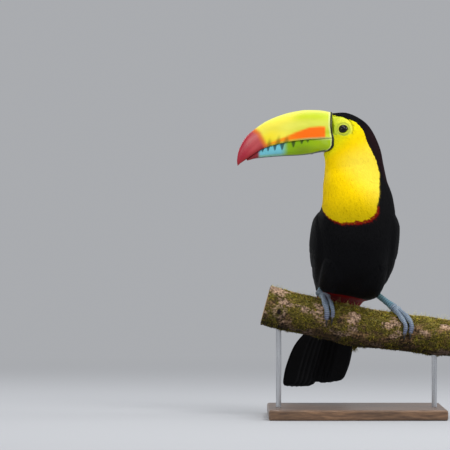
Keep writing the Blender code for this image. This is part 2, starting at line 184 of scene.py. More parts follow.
def wrap(degrees):
    """The same turn between -180 and 180."""
    return (degrees + 180) % 360 - 180


def lookup(table, x, **ends):
    """A value between those of a table of (place, value)."""
    return np.interp(x, *zip(*table), **ends)


def unit(v):
    return v / np.maximum(np.linalg.norm(v, axis=-1, keepdims=True), 1e-12)


def blend(a, b, share):
    share = np.asarray(share, float)[..., None]
    return np.asarray(a) * (1 - share) + np.asarray(b) * share


def srgb(*values):
    """8-bit display colour to linear."""
    v = np.array(values, float) / 255
    return np.where(v <= 0.04045, v / 12.92, ((v + 0.055) / 1.055) ** 2.4)


def painted(colour, *layers):
    """A linear colour with others laid over it: each a display colour and how far it covers."""
    for values, share in layers:
        colour = blend(colour, srgb(*values), share)
    return colour


def grid(rows, columns):
    return np.meshgrid(rows, columns, indexing="ij")


def round_circle(count, start=-math.pi, end=math.pi):
    """Directions spread evenly round a circle."""
    return np.linspace(start, end, count, endpoint=False)


def spline(points, places):
    """Points on a smooth curve through the rows of points, at places counted from 0."""
    points = np.asarray(points, float)
    points = points[:, None] if points.ndim == 1 else points
    last = len(points) - 1
    places = np.clip(np.asarray(places, float), 0, last)
    i = np.minimum(places.astype(int), last - 1)
    f = (places - i)[..., None]
    padded = np.vstack([2 * points[0] - points[1], points, 2 * points[-1] - points[-2]])
    before, a, b, after = padded[i], padded[i + 1], padded[i + 2], padded[i + 3]
    square, cube = 2 * before - 5 * a + 4 * b - after, 3 * a - before - 3 * b + after
    return 0.5 * (2 * a + (b - before) * f + square * f**2 + cube * f**3)


# ---------------------------------------------------------------- the body's surface

def body_surface(station, angle, grow):
    """Points on the body, grown outwards by grow."""
    row = spline(STATIONS, station)
    belly, back, width, setback = row[..., :3], row[..., 3:6], row[..., 6:7], row[..., 7:8]
    ahead, behind = (spline(STATIONS[:, :6], station + d) for d in (0.05, -0.05))
    along = unit((ahead[..., :3] + ahead[..., 3:]) - (behind[..., :3] + behind[..., 3:]))
    downward = unit(belly - back)
    left = unit(np.cross(downward, along))
    half = np.linalg.norm(belly - back, axis=-1, keepdims=True) / 2
    sine = np.sin(angle)[..., None]
    side = np.sign(sine) * np.abs(sine) ** BODY_FULLNESS
    grow = np.asarray(grow, float)[..., None]
    return (
        (belly + back) / 2 + downward * (half + grow) * np.cos(angle)[..., None]
        + left * (width + grow) * side + along * setback * side**2
    )


def on_patch(station, angle, stations, low_edge, high_edge, thickness, edge, softness):
    """How far a patch such as a wing raises the surface, and how far across it (0 to 1) each place is."""
    share = (station - stations[0]) / (stations[1] - stations[0])
    low, high, thick = (
        spline(row, np.clip(share, 0, 1) * (len(row) - 1))[..., 0] for row in (low_edge, high_edge, thickness)
    )
    across = (np.abs(wrap(np.degrees(angle))) - low) / np.maximum(high - low, 1)
    crown = np.clip(1 - np.abs(2 * np.clip(across, 0, 1) - 1) ** 2.5, 0, 1)
    raised = LOOSE_GAP + edge + np.maximum(thick - edge, 0) * crown
    inside = smooth(across, -softness, softness) * smooth(1 - across, -softness, softness)
    inside = inside * smooth(share, -0.02, 0.10) * smooth(1 - share, -0.02, 0.10)
    return raised * inside, across, share


def wing_rise(station, angle):
    forms = (WING_STATIONS, WING_LOW_EDGE, WING_HIGH_EDGE, WING_THICKNESS)
    return on_patch(station, angle, *forms, edge=1.6, softness=0.07)


def thigh_rise(station, angle):
    forms = (THIGH_STATIONS, THIGH_LOW_EDGE, THIGH_HIGH_EDGE, THIGH_THICKNESS)
    return on_patch(station, angle, *forms, edge=1.0, softness=0.25)


def coat_depth(station):
    """Depth of the feathers over the skin."""
    return np.interp(station, (0, 1.5, 3, 5, 7, 9, 11, 13, 14), (0.9, 1.3, 2.2, 3.2, 4.0, 4.2, 3.6, 2.0, 1.5))


class Surface:
    """The skin, sampled on a fine grid of stations and angles that the feathers are laid over."""

    def __init__(self, last, rows, columns):
        self.stations = np.linspace(0, last, rows)
        angles = round_circle(columns)
        s, a = grid(self.stations, angles)
        rise = wing_rise(s, a)[0] * SKIN_UNDER_WING + thigh_rise(s, a)[0]
        self.points = body_surface(s, a, rise - coat_depth(s))
        self.along = np.gradient(self.points, self.stations, axis=0)
        wrapped = np.concatenate([self.points[:, -1:], self.points, self.points[:, :1]], axis=1)
        self.around = (wrapped[:, 2:] - wrapped[:, :-2]) / (2 * (angles[1] - angles[0]))
        square = np.cross(self.along, self.around)
        self.cell = np.linalg.norm(square, axis=-1)
        self.normals = unit(square)
        outwards = self.points - self.points.mean(axis=1, keepdims=True)
        if (self.normals * outwards).sum(-1).mean() < 0:
            self.normals = -self.normals

    def read(self, field, station, angle):
        """Bilinear reading of a field at stations and angles."""
        rows, columns = self.points.shape[:2]
        r = np.clip(station / self.stations[-1], 0, 1) * (rows - 1)
        c = (angle + math.pi) / (2 * math.pi) * columns
        i = np.minimum(r.astype(int), rows - 2)
        j = np.floor(c).astype(int)
        u, v = (r - i)[..., None], (c - j)[..., None]
        j, k = j % columns, (j + 1) % columns
        if field.ndim == 2:
            field = field[..., None]
        near = field[i, j] * (1 - v) + field[i, k] * v
        far = field[i + 1, j] * (1 - v) + field[i + 1, k] * v
        return near * (1 - u) + far * u


# ---------------------------------------------------------------- mesh making

def add_unwrap(mesh, name, places):
    """An unwrap from the places of a mesh's points."""
    corners = np.empty(len(mesh.loops), np.int32)
    mesh.loops.foreach_get("vertex_index", corners)
    mesh.uv_layers.new(name=name).data.foreach_set("uv", np.asarray(places, np.float32)[corners].ravel())


def make_mesh(name, points, tints, uvs, *faces):
    """A mesh from points in millimetres, their linear colours, their places on the OFBake map, and one or
    more arrays of faces, each with as many corners to a face."""
    mesh = bpy.data.meshes.new(name)
    corners = np.concatenate([f.ravel() for f in faces])
    counts = np.concatenate([np.full(len(f), f.shape[1]) for f in faces])
    mesh.vertices.add(len(points))
    mesh.vertices.foreach_set("co", (np.asarray(points) * MM).astype(np.float32).ravel())
    mesh.loops.add(len(corners))
    mesh.loops.foreach_set("vertex_index", corners.astype(np.int32))
    mesh.polygons.add(len(counts))
    mesh.polygons.foreach_set("loop_start", np.concatenate([[0], np.cumsum(counts)[:-1]]).astype(np.int32))
    mesh.update(calc_edges=True)
    rgba = np.ones((len(points), 4), np.float32)
    rgba[:, :3] = tints
    mesh.attributes.new("tint", "FLOAT_COLOR", "POINT").data.foreach_set("color", rgba.ravel())
    add_unwrap(mesh, "OFBake", uvs)
    mesh.shade_smooth()
    return mesh


def new_object(mesh, material, slot, *replaces):
    """The piece that wears a mesh, named after it, in place of the nodes it replaces."""
    obj = bpy.data.objects.new(mesh.name, mesh)
    bpy.context.scene.collection.objects.link(obj)
    obj.data.materials.append(material)
    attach(obj, "root")
    if replaces:
        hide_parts(*replaces)
    return obj


def ring_faces(rows, sides):
    """Quads between rows of points, each row a closed ring."""
    i = np.arange(rows - 1)[:, None] * sides
    j = np.arange(sides)[None, :]
    k = (j + 1) % sides
    return np.stack([i + j, i + sides + j, i + sides + k, i + k], axis=-1).reshape(-1, 4)


def faces_inwards(points, quads):
    """Whether a closed shape's quads face inwards on the whole."""
    a, b, c, d = ((points - points.mean(axis=0))[quads[:, n]] for n in range(4))
    return (np.cross(a, b) * c).sum() + (np.cross(a, c) * d).sum() <= 0


def tubes_mesh(name, *tubes):
    """A mesh of closed tubes, each given as rings of points and their colours (rows by sides by 3), and each
    with a strip of the unwrap."""
    points, quads, caps, tints, uvs, start = [], [], [], [], [], 0
    for index, (rings, colours) in enumerate(tubes):
        rows, sides = rings.shape[:2]
        own = np.vstack([rings.reshape(-1, 3), rings[[0, -1]].mean(axis=1)])
        j = np.arange(sides)
        k = (j + 1) % sides
        last = (rows - 1) * sides
        own_quads = ring_faces(rows, sides)
        own_caps = np.vstack([
            np.stack([j, k, np.full(sides, rows * sides)], axis=-1),
            np.stack([last + k, last + j, np.full(sides, rows * sides + 1)], axis=-1),
        ])
        if faces_inwards(own, own_quads):
            own_quads, own_caps = own_quads[:, ::-1], own_caps[:, ::-1]
        v, u = grid(np.linspace(0.02, 0.98, rows), np.linspace(0.02, 0.98, sides))
        place = np.vstack([np.stack([u, v], axis=-1).reshape(-1, 2), [(0.5, 0.0), (0.5, 1.0)]])
        points.append(own)
        quads.append(own_quads + start)
        caps.append(own_caps + start)
        tints.append(np.vstack([colours.reshape(-1, 3), colours[[0, -1]].mean(axis=1)]))
        uvs.append((place + (index, 0)) / (len(tubes), 1))
        start += len(own)
    return make_mesh(name, *(np.vstack(stack) for stack in (points, tints, uvs, quads, caps)))


# ---------------------------------------------------------------- materials

def node(tree, kind, inputs=None, **settings):
    """A shader node. inputs are constants or other nodes' outputs."""
    made = tree.nodes.new(kind)
    for key, value in settings.items():
        setattr(made, key, value)
    for key, value in (inputs or {}).items():
        if isinstance(value, bpy.types.NodeSocket):
            tree.links.new(value, made.inputs[key])
        else:
            made.inputs[key].default_value = value
    return made


def node_material(name, roughness, specular=0.5, coat=0.0, metallic=0.0):
    """A Principled material with its constants on the sockets, and its nodes for the rest to use."""
    material = bpy.data.materials.new(name)
    material.use_nodes = True
    shader = material.node_tree.nodes["Principled BSDF"]
    for socket, value in (
        ("Roughness", roughness), ("Specular IOR Level", specular), ("Coat Weight", coat),
        ("Coat Roughness", 0.12), ("Metallic", metallic),
    ):
        shader.inputs[socket].default_value = value
    return material, material.node_tree, shader


def tint_of(tree):
    return node(tree, "ShaderNodeAttribute", attribute_name="tint").outputs["Color"]


def noise_of(tree, scale, detail=3.0, stretch=(1, 1, 1), rough=0.5):
    """Noise over the object's own coordinates, in features per metre."""
    coords = node(tree, "ShaderNodeTexCoord").outputs["Object"]
    place = node(tree, "ShaderNodeMapping", {"Vector": coords, "Scale": stretch}).outputs["Vector"]
    settings = {"Vector": place, "Scale": scale, "Detail": detail, "Roughness": rough}
    return node(tree, "ShaderNodeTexNoise", settings).outputs["Fac"]


def ramp(tree, source, *stops):
    """Colours, or greys given as one number, at places along a source's range."""
    made = node(tree, "ShaderNodeValToRGB", {"Fac": source})
    for element, (place, colour) in zip(made.color_ramp.elements, stops):
        element.position = place
        element.color = (*np.broadcast_to(colour, 3), 1)
    return made.outputs["Color"]


def product(tree, a, b):
    mix = node(tree, "ShaderNodeMix", {"Factor": 1.0, 6: a, 7: b}, data_type="RGBA", blend_type="MULTIPLY")
    return mix.outputs[2]


def bump(tree, shader, height, distance, strength=1.0):
    made = node(tree, "ShaderNodeBump", {"Height": height, "Strength": strength, "Distance": distance})
    tree.links.new(made.outputs["Normal"], shader.inputs["Normal"])


def tinted(name, low, high, scale, relief=None, stretch=(1, 1, 1), reach=(0.3, 0.7), **constants):
    """A material of the mesh's own tint, varied by noise, with a fine relief of a scale and a depth."""
    material, tree, shader = node_material(name, **constants)
    variation = ramp(tree, noise_of(tree, scale, stretch=stretch), (reach[0], low), (reach[1], high))
    tree.links.new(product(tree, tint_of(tree), variation), shader.inputs["Base Color"])
    if relief:
        bump(tree, shader, noise_of(tree, relief[0], 4.0), relief[1])
    return material


def wood_material():
    material, tree, shader = node_material("stand_wood", roughness=0.42, coat=0.25)
    grain = noise_of(tree, 60, 6.0, (1.0, 14.0, 6.0), 0.6)
    rings = noise_of(tree, 9, 2.0, (1.0, 10.0, 4.0))
    dark_light = ramp(tree, grain, (0.3, (0.075, 0.036, 0.018)), (0.7, (0.23, 0.125, 0.062)))
    bands = ramp(tree, rings, (0.35, 0.6), (0.62, 1.15))
    tree.links.new(product(tree, dark_light, bands), shader.inputs["Base Color"])
    tree.links.new(ramp(tree, grain, (0.2, 0.5), (0.8, 0.34)), shader.inputs["Roughness"])
    bump(tree, shader, grain, 0.00015)
    return material


def steel_material():
    material, tree, shader = node_material("stand_steel", roughness=0.3, metallic=1.0)
    brushed = noise_of(tree, 700, 2.0, (1.0, 1.0, 0.03))
    colour = ramp(tree, brushed, (0.3, (0.46, 0.47, 0.49)), (0.7, (0.62, 0.63, 0.65)))
    tree.links.new(colour, shader.inputs["Base Color"])
    tree.links.new(ramp(tree, brushed, (0.3, 0.24), (0.7, 0.38)), shader.inputs["Roughness"])
    bump(tree, shader, brushed, 0.00002)
    return material


BARB_FREQUENCY, BARB_SLANT = 1500.0, -0.16


def vane_material():
    """Long feathers: the mesh's tint, with fine barbs that slant back from each shaft."""
    material, tree, shader = node_material("vane", roughness=0.55, specular=0.05)
    place = node(tree, "ShaderNodeUVMap", uv_map="Vane").outputs["UV"]
    place = node(tree, "ShaderNodeSeparateXYZ", {"Vector": place}).outputs
    off_shaft = node(tree, "ShaderNodeMath", {0: place["X"]}, operation="ABSOLUTE").outputs[0]
    slant = {0: off_shaft, 1: BARB_SLANT, 2: place["Y"]}
    slant = node(tree, "ShaderNodeMath", slant, operation="MULTIPLY_ADD").outputs[0]
    barb = node(tree, "ShaderNodeMath", {0: slant, 1: BARB_FREQUENCY}, operation="MULTIPLY").outputs[0]
    barb = node(tree, "ShaderNodeMath", {0: barb}, operation="SINE").outputs[0]
    shade = ramp(tree, barb, (0.0, 0.85), (1.0, 1.12))
    tree.links.new(product(tree, tint_of(tree), shade), shader.inputs["Base Color"])
    bump(tree, shader, barb, 0.00005, 0.2)
    return material


def bark_material():
    material, tree, shader = node_material("bark", roughness=0.9, specular=0.2)
    grain = noise_of(tree, 420, 6.0, (0.5, 1.6, 1.6), 0.65)
    shade = ramp(tree, grain, (0.36, 0.3), (0.66, 1.6))
    tree.links.new(product(tree, tint_of(tree), shade), shader.inputs["Base Color"])
    bump(tree, shader, grain, 0.0009, 0.9)
    return material


# ---------------------------------------------------------------- markings on the plumage

# Colours of the plumage, linear.
YELLOW = srgb(254, 214, 0)
# Painted highlight: the yellow paler on the side of the neck that faces the key light.
YELLOW_HIGHLIGHT = srgb(255, 232, 80)
# Darker yellow low on the bib: partly its own tone, partly painted shade.
YELLOW_LOW_SHADED = srgb(172, 152, 2)
YELLOW_FACE = srgb(236, 222, 10)
LIME = srgb(196, 208, 30)
BLACK = np.array((0.003, 0.003, 0.0037))
MAROON = np.array((0.016, 0.0045, 0.006))
RED = srgb(112, 10, 5)
# The red under the tail: its own red, darkened in part as painted shade for the shadow beneath the body and
# over the perch.
CRISSUM_RED_SHADED = srgb(138, 12, 9)
CREAM = srgb(240, 232, 205)

# The angle that the yellow reaches, by station: alike on both sides of the head, then turned with the neck.
YELLOW_HEAD = (
    (0.0, 158), (0.5, 142), (0.9, 139), (1.5, 142), (2.0, 137),
    (2.6, 129), (3.1, 130), (3.75, 134), (4.6, 125),
)
YELLOW_LEFT = (
    (5.05, 112), (5.55, 93), (5.85, 80), (6.05, 69), (6.4, 52),
    (6.6, 34), (6.72, 16), (6.81, -6), (6.87, -15),
)
YELLOW_RIGHT = (
    (5.2, -95), (5.75, -56), (6.1, -42), (6.35, -36), (6.6, -31), (6.76, -23), (6.81, -12), (6.87, -14),
)
RED_BAND = 0.11  # stations
RED_START = 6.2
NOTCH = (13.0, 4.0, 0.06)  # angle, spread and height of the cleft in the bib's lower edge
# By station: how far the red under the tail reaches, and where the pale patch over it begins, in degrees.
CRISSUM = ((10.42, 30), (10.7, 62), (11.3, 92), (12.6, 96), (12.7, -1))
RUMP = ((11.5, 168), (12.15, 168), (12.4, 116), (14.0, 116))


def yellow_reach(station):
    """The angles where the yellow begins and ends."""
    mirrored = tuple((place, -edge) for place, edge in YELLOW_HEAD)
    return lookup(mirrored + YELLOW_RIGHT, station), lookup(YELLOW_HEAD + YELLOW_LEFT, station)


def plumage_colour(station, angle):
    """Linear colours of the plumage at places on the body."""
    turn = wrap(np.degrees(angle))
    degrees = np.abs(turn)
    right, left = yellow_reach(station + NOTCH[2] * peak(turn, NOTCH[0], NOTCH[1]))
    band_right, band_left = yellow_reach(station - RED_BAND)
    nape = smooth(degrees, 118, 150) * smooth(station, 1.6, 2.6) * (1 - smooth(station, 5.0, 6.3))
    colour = blend(BLACK, MAROON, nape * 0.8)
    colour[(turn > band_right) & (turn < band_left) & (station > RED_START)] = RED
    # Painted highlight: the yellow paler on the neck's left side, which faces the key light.
    yellow = blend(YELLOW, YELLOW_HIGHLIGHT, smooth(turn, 38, 98) * smooth(station, 2.2, 3.5) * 0.7)
    # Lower on the bib the yellow darkens: partly its own tone, partly painted shade where the breast curves
    # under.
    yellow = blend(yellow, YELLOW_LOW_SHADED, smooth(station, 5.4, 6.8) * 0.85)
    yellow = blend(yellow, YELLOW_FACE, 1 - smooth(station, 1.2, 2.6))
    yellow = blend(yellow, LIME, (1 - smooth(station, 0.2, 1.9)) * smooth(degrees, 62, 90) * 0.7)
    colour = np.where(((turn > right) & (turn < left))[..., None], yellow, colour)
    # The red under the tail, partly darkened as painted shade.
    colour[degrees < lookup(CRISSUM, station, left=-1)] = CRISSUM_RED_SHADED
    colour[degrees > lookup(RUMP, station, left=181)] = CREAM
    return colour


def bare_face(station, angle):
    """True on the bare skin round each eye."""
    degrees = np.abs(wrap(np.degrees(angle)))
    low = np.interp(station, (0, 0.3, 1.3, 1.75), (84, 88, 94, 112))
    high = np.interp(station, (0, 0.6, 1.1, 1.45, 1.75), (152, 146, 139, 128, 112))
    return (degrees > low) & (degrees < high) & (station < 1.75)


def base_line(z):
    return lookup(BASE_LINE, z)


def make_skin(surface, material):
    """The one skin that lies under the coat from the bill to the tail."""
    s, a = grid(np.linspace(0, BODY_END, 260), round_circle(160))
    colours = plumage_colour(s, a) * 0.92
    colours[bare_face(s, a)] = LIME
    mesh = tubes_mesh("skin", (surface.read(surface.points, s, a), colours))
    return new_object(
        mesh, material, "plumage_black",
        "head", "neck", "trunk", "tail_coverts", "thigh_left", "thigh_right", "wing_left", "wing_right",
    )


# ---------------------------------------------------------------- small feathers

SIDES = (("left", 1), ("right", -1))
# A small feather's three rings of four points and its tip: how far along they lie, their widths, and their
# painted shade, darker at the root where the feathers overlap and lighter at the tip.
SMALL_SHARES = np.array((0.0, 0.32, 0.76, 1.0))
SMALL_WIDTHS = np.array((0.5, 1.0, 0.78))
SMALL_PAINTED_SHADE = (0.88, 0.98, 1.02, 1.03)
SMALL_CROWN, SMALL_HOLLOW = 0.22, 0.16
SMALL_RINGS = (4, 4, 4, 1)
SMALL_POINTS = 13
SMALL_CURVE = 3.2  # how soon a feather rises from the skin to its full lift
SMALL_TURN = 0.1  # how far in radians feathers stray from the way they lie
WING_COVERT_DENSITY = 0.24
LEAF_ON_MAP = 0.003  # the size of a small leaf on the unwrap
# By station: feathers for each square millimetre, their lengths and their half widths.
FEATHER_DENSITY = (
    (0, 1.5), (1, 1.25), (2.5, 0.85), (4, 0.7), (6, 0.62),
    (7, 0.52), (8, 0.32), (9, 0.27), (12, 0.30), (12.3, 0.55),
)
FEATHER_LENGTH = (
    (0, 2.4), (0.5, 3.0), (1.5, 4.2), (2.5, 5.6), (4, 6.4), (6, 6.8),
    (7, 8.0), (8, 12), (10, 14), (12, 12), (13, 8),
)
FEATHER_WIDTH = (
    (0, 0.4), (1.5, 0.52), (3, 0.72), (5, 0.82), (6.8, 0.9), (8, 1.6), (11, 1.9), (12, 1.9), (12.4, 1.2),
)


# Regions of the coat: name, first and last station, and whether they lie in front, behind, or both.
FRONT_ANGLE = 95
REGIONS = (
    ("face", 0, 1.35, (True, False)), ("head", 1.35, 3.0, (True, False)), ("neck", 3.0, 5.0, (True, False)),
    ("breast", 5.0, 7.2, True), ("mantle", 5.0, 8.5, False),
    ("belly", 7.2, 9.6, True), ("vent", 9.6, 14, True), ("rump", 8.5, 14, False),
)


def scatter(surface, density, rng, columns, first, last):
    """Roots spread evenly over the body. density gives feathers for each square millimetre."""
    thin = 1.0
    edges = np.linspace(-math.pi, math.pi, columns + 1)
    line = np.linspace(first, last, 700)
    stations, angles = [], []
    for low, high in zip(edges, edges[1:]):
        angle = np.full_like(line, (low + high) / 2)
        rate = density(line, angle) * thin * surface.read(surface.cell, line, angle)[:, 0] * (high - low)
        total = np.concatenate([[0], np.cumsum((rate[1:] + rate[:-1]) / 2 * np.diff(line))])
        count = int(total[-1] + rng.random())
        if count:
            wanted = (np.arange(count) + rng.uniform(0.2, 0.8, count)) / count * total[-1]
            stations.append(np.interp(wanted, total, line))
            angles.append(rng.uniform(low, high, count))
    return np.stack([np.concatenate(stations), np.concatenate(angles)])


def bake_place(surface, station, angle):
    """A root's place on an unwrap of the skin."""
    u = (angle / (2 * math.pi) + 0.5) % 1.0
    return np.stack([0.01 + 0.98 * u, 0.01 + 0.98 * station / surface.stations[-1]], axis=-1)


def repeated(faces, count, points):
    """The faces of one leaf, for each of count leaves with as many points."""
    return (faces + np.arange(count)[:, None, None] * points).reshape(-1, faces.shape[1])


def small_feathers(name, surface, roots, sizes, material, rng, base=0.0):
    """One mesh of small feathers: each a closed, lens-shaped leaf that follows the skin and rises towards its
    tip. roots are stations and angles, and sizes are lengths, half widths and lifts."""
    (station, angle), (length, half_width, lift) = roots, sizes
    count = len(station)
    along = surface.read(surface.along, station, angle)
    around = surface.read(surface.around, station, angle)
    yaw = rng.normal(0, SMALL_TURN, count)
    reach = length * rng.uniform(0.85, 1.15, count)
    s = station[:, None] + (reach * np.cos(yaw) / np.linalg.norm(along, axis=-1))[:, None] * SMALL_SHARES
    a = angle[:, None] + (reach * np.sin(yaw) / np.linalg.norm(around, axis=-1))[:, None] * SMALL_SHARES
    normal = surface.read(surface.normals, s, a)
    past_end = np.maximum(s - surface.stations[-1], 0)[..., None]
    ground = surface.read(surface.points, s, a) + past_end * along[:, None]
    rise = (lift * rng.uniform(0.95, 1.02, count))[:, None] * (1 - (1 - SMALL_SHARES) ** SMALL_CURVE) + base
    middle = ground + normal * rise[..., None]
    heading = unit(np.gradient(middle, axis=1))
    side = unit(np.cross(normal, heading))
    w = (half_width * rng.uniform(1.05, 1.35, count))[:, None, None] * SMALL_WIDTHS[:, None]
    mid, nor, sid = middle[:, :3], normal[:, :3], side[:, :3]
    ring = (mid - sid * w, mid + nor * w * SMALL_CROWN, mid + sid * w, mid - nor * w * SMALL_HOLLOW)
    points = np.concatenate([np.stack(ring, axis=2).reshape(count, 12, 3), middle[:, 3:]], axis=1)
    bend = np.stack([nor - 0.4 * sid, nor, nor + 0.4 * sid, nor], axis=2).reshape(count, 12, 3)
    soft = unit(np.concatenate([bend, unit(normal[:, 3:] + 0.2 * heading[:, 3:])], axis=1))
    colour = np.repeat(plumage_colour(s, a), SMALL_RINGS, axis=1)
    # Painted shade: each feather darker at its root, under its neighbours, and lighter at its tip.
    tints = colour * np.repeat(SMALL_PAINTED_SHADE, SMALL_RINGS)[:, None] * rng.uniform(0.96, 1.03, (count, 1, 1))
    upward = np.repeat((0.0, 0.42, 0.8, 1.0), SMALL_RINGS)
    local = np.stack([(-0.5, 0, 0.5, 0.04) * 3 + (0,), upward], axis=-1) * LEAF_ON_MAP
    uvs = bake_place(surface, station, angle)[:, None] + local
    j = np.arange(4)
    quads = np.vstack([np.roll(ring_faces(3, 4), 1, axis=1), j])
    tips = np.stack([8 + (j + 1) % 4, 8 + j, np.full(4, 12)], axis=-1)
    mesh = make_mesh(
        name, points.reshape(-1, 3), tints.reshape(-1, 3), uvs.reshape(-1, 2),
        repeated(quads, count, SMALL_POINTS), repeated(tips, count, SMALL_POINTS),
    )
    mesh.normals_split_custom_set_from_vertices(soft.reshape(-1, 3).astype(np.float32))
    new_object(mesh, material, "plumage_black")


def make_plumage(surface, material, rng):
    """The body's small feathers, in eight regions."""

    def density(station, angle):
        _, across, share = wing_rise(station, angle)
        place = surface.read(surface.points, station, angle)
        covered = (across > 0.12) & (across < 0.93) & (share > 0.06) & (share < 0.93)
        covered |= (place[:, 0] < base_line(place[:, 2]) + 0.6) | bare_face(station, angle)
        return np.where(covered, 0.0, lookup(FEATHER_DENSITY, station))

    roots = scatter(surface, density, rng, columns=190, first=0.02, last=12.95)
    station, angle = roots
    length, width = lookup(FEATHER_LENGTH, station), lookup(FEATHER_WIDTH, station)
    sizes = np.stack([length, width, coat_depth(station) * 0.98])
    in_front = np.abs(wrap(np.degrees(angle))) < FRONT_ANGLE
    for name, start, end, sides in REGIONS:
        chosen = (station >= start) & (station < end) & np.isin(in_front, sides)
        small_feathers(f"feathers_{name}", surface, roots[:, chosen], sizes[:, chosen], material, rng)


def make_wing_coverts(side, sign, surface, material, rng):
    """Small feathers, like scales, over the upper part of a folded wing."""

    def density(station, angle):
        _, across, share = wing_rise(station, angle)
        here = (across > 0.02) & (across < 0.98) & (share > 0.0) & (station < 8.1)
        return np.where(here & (np.sign(angle) == sign), WING_COVERT_DENSITY, 0.0)

    roots = scatter(surface, density, rng, columns=150, first=6.5, last=8.1)
    length, width = (np.interp(roots[0], (6.6, 8.1), ends) for ends in ((8.5, 12.0), (1.7, 2.9)))
    sizes = np.stack([length, width, np.full_like(length, 2.4)])
    small_feathers(f"wing_coverts_{side}", surface, roots, sizes, material, rng, base=1.5)


# ---------------------------------------------------------------- long feathers

# Places across a long feather, over its upper face and back beneath.
VANE_ACROSS = np.concatenate([np.linspace(-1, 1, 7), np.linspace(1, -1, 7)])
VANE_THICKNESS = 0.35
SHAFT_HEIGHT = 0.35
# A row of a wing's long feathers: its name and count, then for its first and last feather the station of the
# root, how far across the wing that is, and the same of the tip, then the half width and the lifts.
WING_ROWS = (
    ("primaries", 8, (9.2, 9.8), (0.42, 0.14), (12.8, 12.15), (0.72, 0.24), 4.8, (0.4, 1.0)),
    ("secondaries", 11, (8.2, 9.2), (0.93, 0.20), (12.35, 11.0), (0.88, 0.34), 7.6, (0.7, 1.9)),
    ("greater_coverts", 13, (7.5, 8.5), (0.95, 0.10), (9.85, 9.35), (0.92, 0.16), 6.4, (1.2, 2.3)),
    ("median_coverts", 14, (7.0, 7.9), (0.96, 0.08), (8.85, 8.6), (0.94, 0.11), 5.4, (1.7, 2.7)),
)
# Widths along a wing feather and along a tail feather, as shares of the widest.
WING_VANE = ((0, 0.5), (0.15, 0.9), (0.6, 1.0), (0.85, 0.93), (0.93, 0.74), (0.98, 0.42), (1, 0.15))
TAIL_VANE = ((-0.3, 0.4), (-0.02, 1.0), (0.7, 1.0), (0.9, 0.98), (0.96, 0.84), (0.99, 0.55), (1, 0.25))
TAIL_VANE_SHARE = 0.27  # half width of a tail feather, as a share of the tail's
TAIL_LAYERS, TAIL_SINK = 2.4, 1.6  # how far the middle feathers lie over the outer ones, and these below


def long_feathers(name, lie, half_widths, colours, roots, material, *replaces, camber=0.10, edge_highlight=0.9):
    """A mesh of long feathers, each a closed leaf. lie is their midlines, sideways and upward directions, as
    arrays of feathers by rows by 3."""
    centres, sides, normals = (v[:, :, None] for v in lie)
    count, rows = half_widths.shape
    ring = len(VANE_ACROSS)
    w, x = half_widths[..., None, None], VANE_ACROSS[:, None]
    shaft = peak(x, 0, 0.12) * SHAFT_HEIGHT
    upper = np.arange(ring)[:, None] < ring // 2
    relief = np.where(upper, shaft + VANE_THICKNESS * (1 - np.abs(x) * 0.6), -shaft * 0.3)
    points = centres + sides * w * x + normals * (w * (1 - x**2) * camber + relief)
    rise = np.linspace(0, 1, rows)
    # Painted shade and highlight: each feather darker at its root, where it lies under others, lighter
    # towards its tip, and lighter along its edges.
    shade = np.interp(rise, (0, 0.6, 1), (0.8, 1.0, 1.15))[:, None, None]
    tints = colours[:, None, None] * shade * (1 + edge_highlight * np.abs(x) ** 4)
    local = np.broadcast_arrays(VANE_ACROSS * np.where(upper[:, 0], 0.002, 0.00184), rise[:, None] * 0.03)
    uvs = roots[:, None, None] + np.stack(local, axis=-1)
    i = np.arange(ring // 2 - 1)
    end = np.stack([i, i + 1, ring - 2 - i, ring - 1 - i], axis=-1)
    faces = np.vstack([ring_faces(rows, ring), end, end[:, ::-1] + (rows - 1) * ring])
    if faces_inwards(points[0].reshape(-1, 3), faces):
        faces = faces[:, ::-1]
    faces = repeated(faces, count, rows * ring)
    mesh = make_mesh(name, points.reshape(-1, 3), tints.reshape(-1, 3), uvs.reshape(-1, 2), faces)
    strand = np.broadcast_arrays(VANE_ACROSS, rise[:, None] + np.arange(count)[:, None, None])
    add_unwrap(mesh, "Vane", np.stack(strand, axis=-1).reshape(-1, 2))
    new_object(mesh, material, "plumage_black", *replaces)


def wing_vanes(surface, material, rng):
    """The long feathers of both folded wings, like shingles: each row lies over the roots of the next."""
    rows = 22
    share = 1 - (1 - np.linspace(0, 1, rows)) ** 1.5
    ease = share**0.8
    for side, sign in SIDES:
        for group, count, *ends, width, lifts in WING_ROWS:
            order = np.linspace(0, 1, count)
            root, root_across, tip, tip_across = (np.interp(order, (0, 1), pair)[:, None] for pair in ends)
            tip = tip + rng.uniform(-0.07, 0.07, (count, 1))
            station = root * (1 - share) + tip * share
            across = root_across * (1 - ease) + tip_across * ease
            step = (station - WING_STATIONS[0]) / (WING_STATIONS[1] - WING_STATIONS[0])
            step = np.clip(step, 0, 1) * (len(WING_LOW_EDGE) - 1)
            low, high = (spline(row, step)[..., 0] for row in (WING_LOW_EDGE, WING_HIGH_EDGE))
            angle = sign * np.radians(low + (high - low) * across)
            normals = surface.read(surface.normals, station, angle)
            lift = lifts[0] + (lifts[1] - lifts[0]) * smooth(share, 0, 0.5) + 0.7 * (1 - order[:, None])
            centres = surface.read(surface.points, station, angle) + normals * lift[..., None]
            sides = unit(np.cross(normals, unit(np.gradient(centres, axis=1))))
            half_widths = np.broadcast_to(width * lookup(WING_VANE, share), (count, rows))
            colours = BLACK * rng.uniform(0.85, 1.1, (count, 1))
            places = bake_place(surface, station[:, 0], angle[:, 0])
            lie = (centres, sides, normals)
            long_feathers(f"{group}_{side}", lie, half_widths, colours, places, material)


